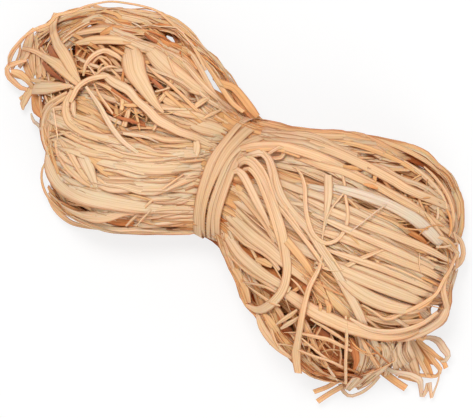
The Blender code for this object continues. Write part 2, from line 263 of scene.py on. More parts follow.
# Gaps between the strands: x, y, slope, half length, half width, depth, and the height
# above which the strands part.
GAPS = (
    (-98, 22.7, 0, 12, 8.5, 16, UPPER), (92, -55, 0, 17, 9, 12, UPPER), (68, -54, 0, 10, 5, 8, UPPER),
    (-60, 27, 0, 12, 2, 5, UPPER), (-70, 2, 0, 14, 2, 5, UPPER), (32.5, -29.5, 0, 7, 2.4, 6, UPPER),
    (48.5, -32.5, 0, 7, 2.6, 7, UPPER), (31.5, -40, 0, 8, 1.4, 5, UPPER),
    (62, -30, 0, 11, 3.2, 7, UPPER), (45, -50, 0, 8, 3, 7, UPPER), (54, -46.5, 0, 6, 2.2, 6, UPPER),
    (-55, 29, 0, 8, 2, 6, UPPER), (-42, 24, 0, 8, 2, 6, UPPER), (-29, 33, 0, 5, 1.4, 4, UPPER),
    (-58, 8, 0, 9, 1.8, 5, UPPER), (-48, 40, -0.2, 8, 1.4, 6, UPPER),
    (-31.7, 45.7, -0.37, 13, 3.3, 2, THROUGH), (-105.3, 38.7, 0.7, 8, 2.9, 2, THROUGH),
    (-62, 54.6, 0, 6, 2.8, 2, THROUGH), (-73.2, 46.4, 0, 5, 1.5, 2, THROUGH),
    (-82.1, 52, 0, 3.5, 1.2, 2, THROUGH), (137.5, -10, 0, 7, 3.2, 2, THROUGH),
    (32.8, -29.2, 0.05, 4.7, 1.5, 7, UPPER), (47.5, -33.5, -0.17, 5.4, 2.2, 8, UPPER),
    (62.2, -31.8, -0.17, 6.5, 2.5, 9, UPPER), (-43, 24.8, 0.03, 8.1, 2.6, 8, UPPER),
    (-34.5, 30.2, -0.28, 4, 1.3, 7, UPPER), (65, 46.2, 0.28, 4, 2.4, 9, UPPER),
    (89.8, 56.8, 0.03, 7.9, 2.4, 10, UPPER), (103.2, 54.8, -0.37, 4.3, 1.6, 9, UPPER),
    (57.2, 47.5, 0.29, 4.7, 0.9, 6, UPPER), (-115.5, 14.8, -0.27, 5.9, 3, 10, UPPER),
    (-113.5, 7.5, -0.27, 6.8, 3, 10, UPPER), (-83.5, 26, 0, 5.9, 2.6, 9, UPPER),
    (-62, 4, 0.04, 10.8, 2, 10, UPPER), (-56.5, 28, -0.21, 6.3, 1.3, 9, UPPER),
    (-126.5, 20, 1.2, 3, 2.2, 8, UPPER), (59, 37.5, 0.11, 4, 2.2, 8, UPPER),
    (77, 38.2, 0.12, 5.9, 2, 8, UPPER), (95.5, 37, 0, 8.6, 3.4, 13, UPPER),
    (76.2, 21.8, 0.17, 9.2, 1.2, 7, UPPER), (107.8, 24, -0.19, 9.7, 3.2, 10, UPPER),
    (123.5, 17.2, -0.17, 4, 2.6, 9, UPPER), (121, 37, -1, 3.1, 1.4, 6, UPPER),
    (106.8, 48.8, -0.06, 3.8, 1.2, 6, UPPER), (65, 18, 0.33, 3, 1, 5, UPPER),
    (-66.5, -51.8, 0.07, 10.3, 2.6, 7, UPPER), (-38, -47.8, 0.42, 8.1, 2, 9, UPPER),
    (-12.5, -37.5, 0.45, 9, 0.9, 7, UPPER), (-31.5, -32, 0.42, 5.4, 0.8, 5, UPPER),
    (-70.2, -37, 0.11, 4.3, 1.4, 6, UPPER), (-60.8, -46.5, 0.17, 5.2, 0.9, 6, UPPER),
    (-41.5, -41, 0.44, 4, 1, 6, UPPER), (-43, -14.2, 0.25, 4.5, 0.8, 5, UPPER),
    (-29.5, -11.2, 0.2, 9.9, 0.8, 5, UPPER), (-18.5, -18.2, 0.41, 7.2, 0.5, 5, UPPER),
    (-47.8, -2.8, 0.33, 8.8, 1.2, 7, UPPER), (-64.5, -27.8, -0.7, 3, 1.6, 6, UPPER),
    (-49.2, -23.8, 0.37, 7.9, 0.8, 5, UPPER), (-41.2, -32, 0.41, 8.8, 0.7, 5, UPPER),
    (-18, -26.2, 0.42, 8.1, 0.6, 5, UPPER))


def parted(centre):
    """Strands pushed aside round each gap. A strand moves to the side of the gap's line on
    which it passes its middle, by the half width times a bell curve of the distance from
    there, and sinks by the gap's depth times a narrower bell curve."""
    for x, y, slope, long, wide, deep, above in GAPS:
        dx = centre[..., 0] - x
        dy = centre[..., 1] - y - slope * np.clip(dx, -1.5 * long, 1.5 * long)
        nearest = np.abs(dx).argmin(axis=1)
        side = np.sign(dy[np.arange(len(dy)), nearest])[:, None]
        upper = ease((centre[..., 2] - above) / GAP_SOFT)
        push = upper * np.exp(-(dx / long) ** 2 - (dy / (2.2 * wide)) ** 2)
        centre[..., 1] += side * wide * push
        centre[..., 2] -= deep * push * np.exp(-(dy / (1.5 * wide)) ** 2)
    return centre


# ---------------------------------------------------------------- ribbons

THICK = 0.22               # thickness of a strand
TABLE_CLEAR = 0.15         # least height of any point above the table
SHARP_EDGE = 28            # degrees between faces past which an edge stays sharp
# Place across (in widths) and out of the strip (in thicknesses) of the flat section, and the
# share of the bake strip at which each of its points lies.
SECTION = np.array(((-0.5, -0.5), (-0.5, 0.5), (0, 0.5), (0.5, 0.5), (0.5, -0.5), (0, -0.5)))
UNROLLED = np.array((0, 0.08, 0.29, 0.50, 0.58, 0.79, 1.0))
SIDES = len(SECTION)
NEXT_SHIFT = 0.6180339     # steps the pattern from strand to strand so that none repeats
BAKE_COLUMN = 170          # most strands in one column of the bake map
END_MARGIN = 0.02          # share of a bake strip left free at each end for its end face
SIDE_MARGIN = 0.1          # share of it left free at each side


def frames(centre, roll, out):
    """Three directions at each point of each path: along it, across the strip and out of it.
    The strip faces `out`, turned about its own length by `roll`."""
    along = np.gradient(centre, axis=1)
    along /= np.linalg.norm(along, axis=-1, keepdims=True) + 1e-9
    face = out - (out * along).sum(axis=-1, keepdims=True) * along
    face /= np.linalg.norm(face, axis=-1, keepdims=True) + 1e-9
    across = np.cross(along, face)
    turn = roll[..., None]
    return (along, np.cos(turn) * across + np.sin(turn) * face,
            np.cos(turn) * face - np.sin(turn) * across)


class Strands:
    """Strands gathered for one piece: paths, widths, roll, facing, curl, crease and tint."""

    def __init__(self):
        self.batches = []

    def add(self, centre, width, roll, tint, out=None, curl=0.0, crease=0.0):
        """Add one batch: each value is one number, or one a strand, or one a point."""
        count, steps = centre.shape[:2]
        full = lambda value: np.broadcast_to(np.asarray(value, float), (count, steps))
        out = outward(centre) if out is None else out
        tint = np.broadcast_to(np.asarray(tint, float).reshape(-1, 1), (count, 1))
        self.batches.append((centre, full(width), full(roll), out, full(curl), full(crease),
                             tint))


def ribbon_grid(batch, offset):
    """Points, quads and maps of one batch of strands. The section's place across, a, and
    place out, b, give point = centre + a width across + (b thickness + curl width (1 - 4 a
    squared) + crease width (1 - 2 |a|)) out of the strip."""
    centre, width, roll, out, curl, crease, tint = batch
    count, steps = centre.shape[:2]
    _, across, face = frames(centre, roll, out)
    a, b = SECTION[:, 0], SECTION[:, 1]
    wide = width[..., None]
    rise = b * THICK + wide * (curl[..., None] * (0.25 - a * a) * 4
                               + crease[..., None] * (0.5 - np.abs(a)) * 2)
    points = (centre[:, :, None] + (a * wide)[..., None] * across[:, :, None]
              + rise[..., None] * face[:, :, None])
    points[..., 2] = np.maximum(points[..., 2], TABLE_CLEAR)

    strand, step, side = np.meshgrid(np.arange(count), np.arange(steps - 1), np.arange(SIDES),
                                     indexing="ij")
    corner = lambda i, j, k: offset + (i * steps + j) * SIDES + k % SIDES
    quads = np.stack((corner(strand, step, side), corner(strand, step, side + 1),
                      corner(strand, step + 1, side + 1), corner(strand, step + 1, side)),
                     axis=-1).reshape(-1, 4)
    first, last = corner(np.arange(count), 0, 0), corner(np.arange(count), steps - 1, 0)
    ends = np.concatenate((first[:, None] + np.arange(SIDES)[::-1],
                           last[:, None] + np.arange(SIDES)))

    length = np.linalg.norm(np.diff(centre, axis=1), axis=-1)
    length = np.concatenate((np.zeros((count, 1)), np.cumsum(length, axis=1)), axis=1)
    shape = (count, steps, SIDES)
    maps = {
        "across_m": np.broadcast_to(a * wide, shape) * MM,
        "along_m": np.broadcast_to(length[..., None], shape) * MM,
        "edge": np.broadcast_to(2 * a, shape),
        "tint": np.broadcast_to(tint[..., None], shape),
    }
    return points, quads, ends, maps


def ribbon_piece(name, strands, slot, *nodes):
    """One named mesh of all the gathered strands, in place of its CAD nodes."""
    points, quads, ends, maps, rows = [], [], [], [], []
    offset = 0
    for batch in strands.batches:
        grid, faces, caps, values = ribbon_grid(batch, offset)
        points.append(grid.reshape(-1, 3))
        quads.append(faces)
        ends.append(caps)
        maps.append({key: value.reshape(-1) for key, value in values.items()})
        rows.append(grid.shape[:2])
        offset += len(points[-1])
    points = np.concatenate(points) * MM + WAIST
    quads, ends = np.concatenate(quads), np.concatenate(ends)
    maps = {key: np.concatenate([part[key] for part in maps]) for key in maps[0]}

    mesh = bpy.data.meshes.new(name)
    mesh.vertices.add(len(points))
    mesh.vertices.foreach_set("co", points.ravel())
    corners = np.concatenate((quads.ravel(), ends.ravel()))
    sizes = np.concatenate((np.full(len(quads), 4), np.full(len(ends), SIDES)))
    mesh.loops.add(len(corners))
    mesh.loops.foreach_set("vertex_index", corners)
    mesh.polygons.add(len(sizes))
    mesh.polygons.foreach_set("loop_start", np.concatenate(([0], np.cumsum(sizes)[:-1])))
    mesh.update(calc_edges=True)
    mesh.shade_smooth()
    mesh.set_sharp_from_angle(angle=np.radians(SHARP_EDGE))

    number = np.concatenate([np.repeat(np.arange(count), steps * SIDES)
                             for count, steps in rows]).astype(float)
    shift = (number * NEXT_SHIFT) % 1.0
    fibre = np.stack((maps["across_m"] + 0.05 * shift, maps["along_m"] + shift), axis=1)
    mesh.uv_layers.new(name="fibre").data.foreach_set("uv", fibre[corners].ravel())
    mesh.uv_layers.new(name="OFBake").data.foreach_set("uv", bake_strips(rows).ravel())
    for key in ("edge", "tint"):
        mesh.attributes.new(key, "FLOAT", "POINT").data.foreach_set("value", maps[key])
    mesh.materials.append(raffia(slot))
    mesh.validate()

    made = bpy.data.objects.new(name, mesh)
    bpy.context.scene.collection.objects.link(made)
    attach(made, "root")
    if nodes:
        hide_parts(*nodes)


def bake_strips(rows):
    """The map for baking: each strand a strip of its own, its section unrolled across the
    strip, and its two end faces in the strip's margins."""
    total = sum(count for count, _ in rows)
    columns = max(1, int(np.ceil(total / BAKE_COLUMN)))
    per_column = int(np.ceil(total / columns))
    long, wide = 1 - 2 * END_MARGIN, 1 - 2 * SIDE_MARGIN
    quads, ends, done = [], [], 0
    for count, steps in rows:
        strand, step, side = np.meshgrid(done + np.arange(count), np.arange(steps - 1),
                                         np.arange(SIDES), indexing="ij")
        low = (strand // per_column + END_MARGIN + long * step / (steps - 1)) / columns
        high = low + long / (steps - 1) / columns
        bottom = (strand % per_column + SIDE_MARGIN + wide * UNROLLED[side]) / per_column
        top = (strand % per_column + SIDE_MARGIN + wide * UNROLLED[side + 1]) / per_column
        quads.append(np.stack((low, bottom, low, top, high, top, high, bottom),
                              axis=-1).reshape(-1, 2))
        number = np.concatenate([done + np.arange(count)] * 2)
        at_end = np.repeat((0, 1), count)
        angle = np.linspace(0, 2 * np.pi, SIDES, endpoint=False)
        u = (number // per_column + 0.5 * END_MARGIN + at_end * (1 - END_MARGIN))[:, None]
        u = u / columns + 0.3 * END_MARGIN / columns * np.cos(angle)
        v = (number % per_column + 0.5)[:, None] / per_column + 0.3 / per_column * np.sin(angle)
        ends.append(np.stack((u, v), axis=-1).reshape(-1, 2))
        done += count
    return np.concatenate(quads + ends)


# ---------------------------------------------------------------- materials

STRAW = 0.2                # least tint of a scattered strand: no rare grey-green leaf there
# Tint of a strand, from the rare grey-green leaf through straw to orange and brown. The
# darkest red-brown, from about 0.95 up, is painted shade: it colours the slit and cavity
# floors and the deepest strands.
TINTS = ((0.0, (0.76, 0.59, 0.45)), (0.14, (0.80, 0.57, 0.38)), (0.28, (0.83, 0.53, 0.315)),
         (0.5, (0.83, 0.47, 0.22)), (0.75, (0.75, 0.355, 0.13)), (0.9, (0.72, 0.25, 0.07)),
         (1.0, (0.30, 0.08, 0.024)))
# What a fine line and a broad line of the leaf multiply its colour by, dark lines first.
FINE_LINES = ((0.32, (0.62, 0.43, 0.30)), (0.43, (0.92, 0.87, 0.82)), (0.56, (1.0, 1.0, 1.0)),
              (0.72, (1.06, 1.07, 1.08)))
BROAD_LINES = ((0.31, (0.56, 0.34, 0.20)), (0.37, (0.88, 0.80, 0.73)),
               (0.43, (0.98, 0.97, 0.96)), (0.72, (1.03, 1.04, 1.05)))
# Colour towards which each strip darkens at its two edges: partly the darker colour of split leaf,
# partly painted shade for the thin shadow lines between strands.
EDGE_TONE_AND_SHADE = (0.48, 0.25, 0.11, 1)
COLOUR_SOCKETS = (0, 6, 7)  # of a Mix node: its factor and its two colours
# Brightness, roughness and the share of the broad lines of each finish.
FINISHES = {"raffia_hank": (1.0, 0.55, 0.8), "raffia_tie": (0.9, 0.6, 0.7),
            "raffia_loose": (1.0, 0.6, 0.75)}


def feed(tree, socket, value):
    """Link a socket to another node's output, or set it to a plain value."""
    if isinstance(value, bpy.types.NodeSocket):
        tree.links.new(value, socket)
    else:
        socket.default_value = value


def node(tree, kind, **inputs):
    """A shader node with some of its inputs set or linked."""
    made = tree.nodes.new(kind)
    for name, value in inputs.items():
        feed(tree, made.inputs[name], value)
    return made


def maths(tree, operation, first, second):
    """The output of one Math node."""
    made = tree.nodes.new("ShaderNodeMath")
    made.operation = operation
    for socket, value in zip(made.inputs, (first, second)):
        feed(tree, socket, value)
    return made.outputs[0]


def multiplied(tree, factor, first, second):
    """The colour output of a Mix node that multiplies two colours, by a factor."""
    made = tree.nodes.new("ShaderNodeMix")
    made.data_type = "RGBA"
    made.blend_type = "MULTIPLY"
    for number, value in zip(COLOUR_SOCKETS, (factor, first, second)):
        feed(tree, made.inputs[number], value)
    return made.outputs[2]


def ramp(tree, factor, stops):
    """A colour ramp from (place, colour) stops."""
    made = tree.nodes.new("ShaderNodeValToRGB")
    tree.links.new(factor, made.inputs[0])
    elements = made.color_ramp.elements
    while len(elements) < len(stops):
        elements.new(0.5)
    for element, (place, colour) in zip(elements, stops):
        element.position = place
        element.color = (*colour, 1)
    return made.outputs[0]


def read_attribute(tree, name):
    """The value that the mesh carries under a name."""
    made = tree.nodes.new("ShaderNodeAttribute")
    made.attribute_name = name
    return made.outputs["Fac"]


def grain(tree, fibre, across, along, detail, rough):
    """Noise stretched along the strip: so many waves a metre across it and along it."""
    stretched = node(tree, "ShaderNodeMapping", Vector=fibre, Scale=(across, along, 1))
    return node(tree, "ShaderNodeTexNoise", Vector=stretched.outputs[0], Scale=1.0,
                Detail=detail, Roughness=rough).outputs[0]


def raffia(slot):
    """Dry split palm leaf. Fine fibres run along the strip in light and dark lines, broad
    stains vary along it, and a soft sheen lies on the face. The edges are darker: partly the
    darker colour of split leaf, partly painted shade for the thin shadow lines between strands."""
    found = bpy.data.materials.get(slot + "_leaf")
    if found:
        return found
    bright, rough, lined = FINISHES[slot]
    material = bpy.data.materials.new(slot + "_leaf")
    material.use_nodes = True
    tree = material.node_tree
    shader = tree.nodes["Principled BSDF"]
    place = tree.nodes.new("ShaderNodeUVMap")
    place.uv_map = "fibre"
    fibre = place.outputs[0]
    lines = grain(tree, fibre, across=1800, along=18, detail=3.0, rough=0.6)
    bands = grain(tree, fibre, across=900, along=9, detail=2.0, rough=0.5)
    stains = grain(tree, fibre, across=60, along=22, detail=4.0, rough=0.55)

    stain = maths(tree, "MULTIPLY", maths(tree, "SUBTRACT", stains, 0.5), 0.25)
    tint = maths(tree, "ADD", read_attribute(tree, "tint"), stain)
    colour = multiplied(tree, 0.8, ramp(tree, tint, TINTS), ramp(tree, lines, FINE_LINES))
    colour = multiplied(tree, lined, colour, ramp(tree, bands, BROAD_LINES))
    across = maths(tree, "ABSOLUTE", read_attribute(tree, "edge"), 0.0)
    # Darkening at the strip's edges: partly split-leaf colour, partly painted shade between strands.
    rim = maths(tree, "MULTIPLY", maths(tree, "POWER", across, 6.0), 0.95)
    colour = multiplied(tree, rim, colour, EDGE_TONE_AND_SHADE)
    colour = multiplied(tree, 1.0, colour, (bright, bright, bright, 1))
    tree.links.new(colour, shader.inputs["Base Color"])

    gloss = maths(tree, "ADD", maths(tree, "MULTIPLY", lines, 0.25), rough - 0.1)
    tree.links.new(gloss, shader.inputs["Roughness"])
    shader.inputs["Specular IOR Level"].default_value = 0.35
    shader.inputs["Subsurface Weight"].default_value = 0.4
    shader.inputs["Subsurface Radius"].default_value = (1.0, 0.45, 0.2)
    shader.inputs["Subsurface Scale"].default_value = 0.001
    height = maths(tree, "ADD", lines, maths(tree, "MULTIPLY", bands, 1.5))
    bump = node(tree, "ShaderNodeBump", Height=height, Strength=0.5, Distance=0.0002)
    tree.links.new(bump.outputs[0], shader.inputs["Normal"])
    return material


# ---------------------------------------------------------------- folded strands

FOLDED_CLEAR = 0.6         # least height of a folded strand's middle above the table
COLUMNS = ("front", "front_mid", "middle", "back_mid", "back")
# The folded strands of an outer and of an inner loop, in each bow end: how deep in the hank
# (0 at its surface, 1 at its middle), how many locks, strands a lock, width, points a strand.
OUTER_LOOP = (((0.0, 0.14), 6, 9, 2.6, 54), ((0.12, 0.45), 3, 6, 3.2, 36))
INNER_LOOP = (((0.40, 0.96), 5, 5, 3.2, 28),)


def hairpins(strands, rng, side, u_range, depth_range, locks, per_lock, width, steps):
    """Strands folded at one bow end. Both legs start under the tie; the fold is half an
    ellipse that joins them. With m running from -1 on one leg to 1 on the other, the place
    across the hank and the level are middle + m half-difference, and x is the start of the
    fold plus the fold's length times the cosine of its angle. Locks share their middle,
    and each strand keeps a small place of its own in its lock that slowly turns."""
    count = locks * per_lock
    lock = np.repeat(np.arange(locks), per_lock)
    draw = lambda low, high: rng.uniform(low, high, (locks, 1))[lock]
    own = lambda size: rng.normal(0, size, (count, 1))

    # each strand's two legs, as a middle and half a difference in u and in level
    depth = draw(*depth_range)
    tilt = draw(-0.55, 0.55) * (0.3 + depth)
    level_half = (1 - depth) * np.cos(tilt) + own(0.02)
    u_half = 0.5 * np.sin(tilt) + own(0.02)
    u_mid = draw(*u_range) + own(0.02)
    level_mid = draw(-0.06, 0.06) + own(0.015)

    # its run along the hank: the fold's length, its tip, its start, and its root at the tie
    fold = np.maximum(FOLD_OUTER * level_half + 10 * np.abs(u_half), 6) * (1 + own(0.06))
    tip = reach(side, u_mid) - 26 * depth - draw(0, 9) - np.abs(own(3.0))
    start = tip - fold
    root = -rng.uniform(1, 7, (count, 1))
    q = np.linspace(-1, 1, steps)[None, :]
    bend = 0.16 + 0.05 * own(0.5)
    turning = np.clip(q / bend, -1, 1) * np.pi / 2
    run = np.clip((np.abs(q) - bend) / (1 - bend), 0, 1)
    x = side * np.where(run > 0, start + (root - start) * run, start + fold * np.cos(turning))
    m = np.sin(turning)

    # its wandering, which grows from the tie on: the lock's, its place in it, and its own
    far = ease((np.abs(x) - 8) / 70)
    along = np.sign(q) * 0.5 + np.abs(x) / 150
    lock_along = np.linspace(0, 1.6, steps)[None, :]
    lock_u = wander(rng, locks, lock_along)[lock]
    lock_level = wander(rng, locks, lock_along)[lock]
    angle = rng.uniform(0, 2 * np.pi, (count, 1)) + wander(rng, count, along) * 1.2
    away = np.abs(own(0.055)) + 0.02
    u = u_mid + m * u_half + far * (0.035 * lock_u + away * np.cos(angle)
                                    + 0.022 * wander(rng, count, along * 2))
    level = level_mid + m * level_half + far * (0.05 * lock_level + 0.8 * away * np.sin(angle)
                                                + 0.03 * wander(rng, count, along * 2))
    u = np.clip(u * (1 - 0.10 * (1 - far)), -0.985, 0.985)
    centre = in_hank(side, x, u, np.clip(level, -1.02, 1.05))
    legs = np.array_split(centre, 2, axis=1)
    centre = np.concatenate([parted(leg) for leg in legs], axis=1)
    centre[..., 2] = np.maximum(centre[..., 2], FOLDED_CLEAR)

    wide = strand_widths(rng, count, width) * (1 + 0.12 * wander(rng, count, along * 3))
    roll = own(0.22) + far * 0.35 * wander(rng, count, along * 1.5)
    # Strands deeper in the hank, up to a fifth of the way to its middle, take a darker, more orange
    # tint: painted shade inside the hank. The lock and each strand add a random tone.
    tint = 0.55 + 1.2 * np.minimum(depth, 0.2) + draw(-0.10, 0.10) + own(0.12)
    strands.add(centre, np.maximum(wide, 0.5), roll, np.clip(tint, STRAW, 0.92),
                curl=own(0.02), crease=own(0.04))


def hank():
    """The ten loops of the hank, each with its strands in both bow ends."""
    edges = np.linspace(-EDGE, EDGE, len(COLUMNS) + 1)
    for column, place in enumerate(COLUMNS):
        for name, layers in (("outer_loop_" + place, OUTER_LOOP),
                             ("inner_loop_" + place, INNER_LOOP)):
            rng, strands = dice(name), Strands()
            for side in (SMALL, LARGE):
                for layer in layers:
                    hairpins(strands, rng, side, edges[column:column + 2], *layer)
            ribbon_piece(name + "_raffia", strands, "raffia_hank", name)


# ---------------------------------------------------------------- lines of the laid strands

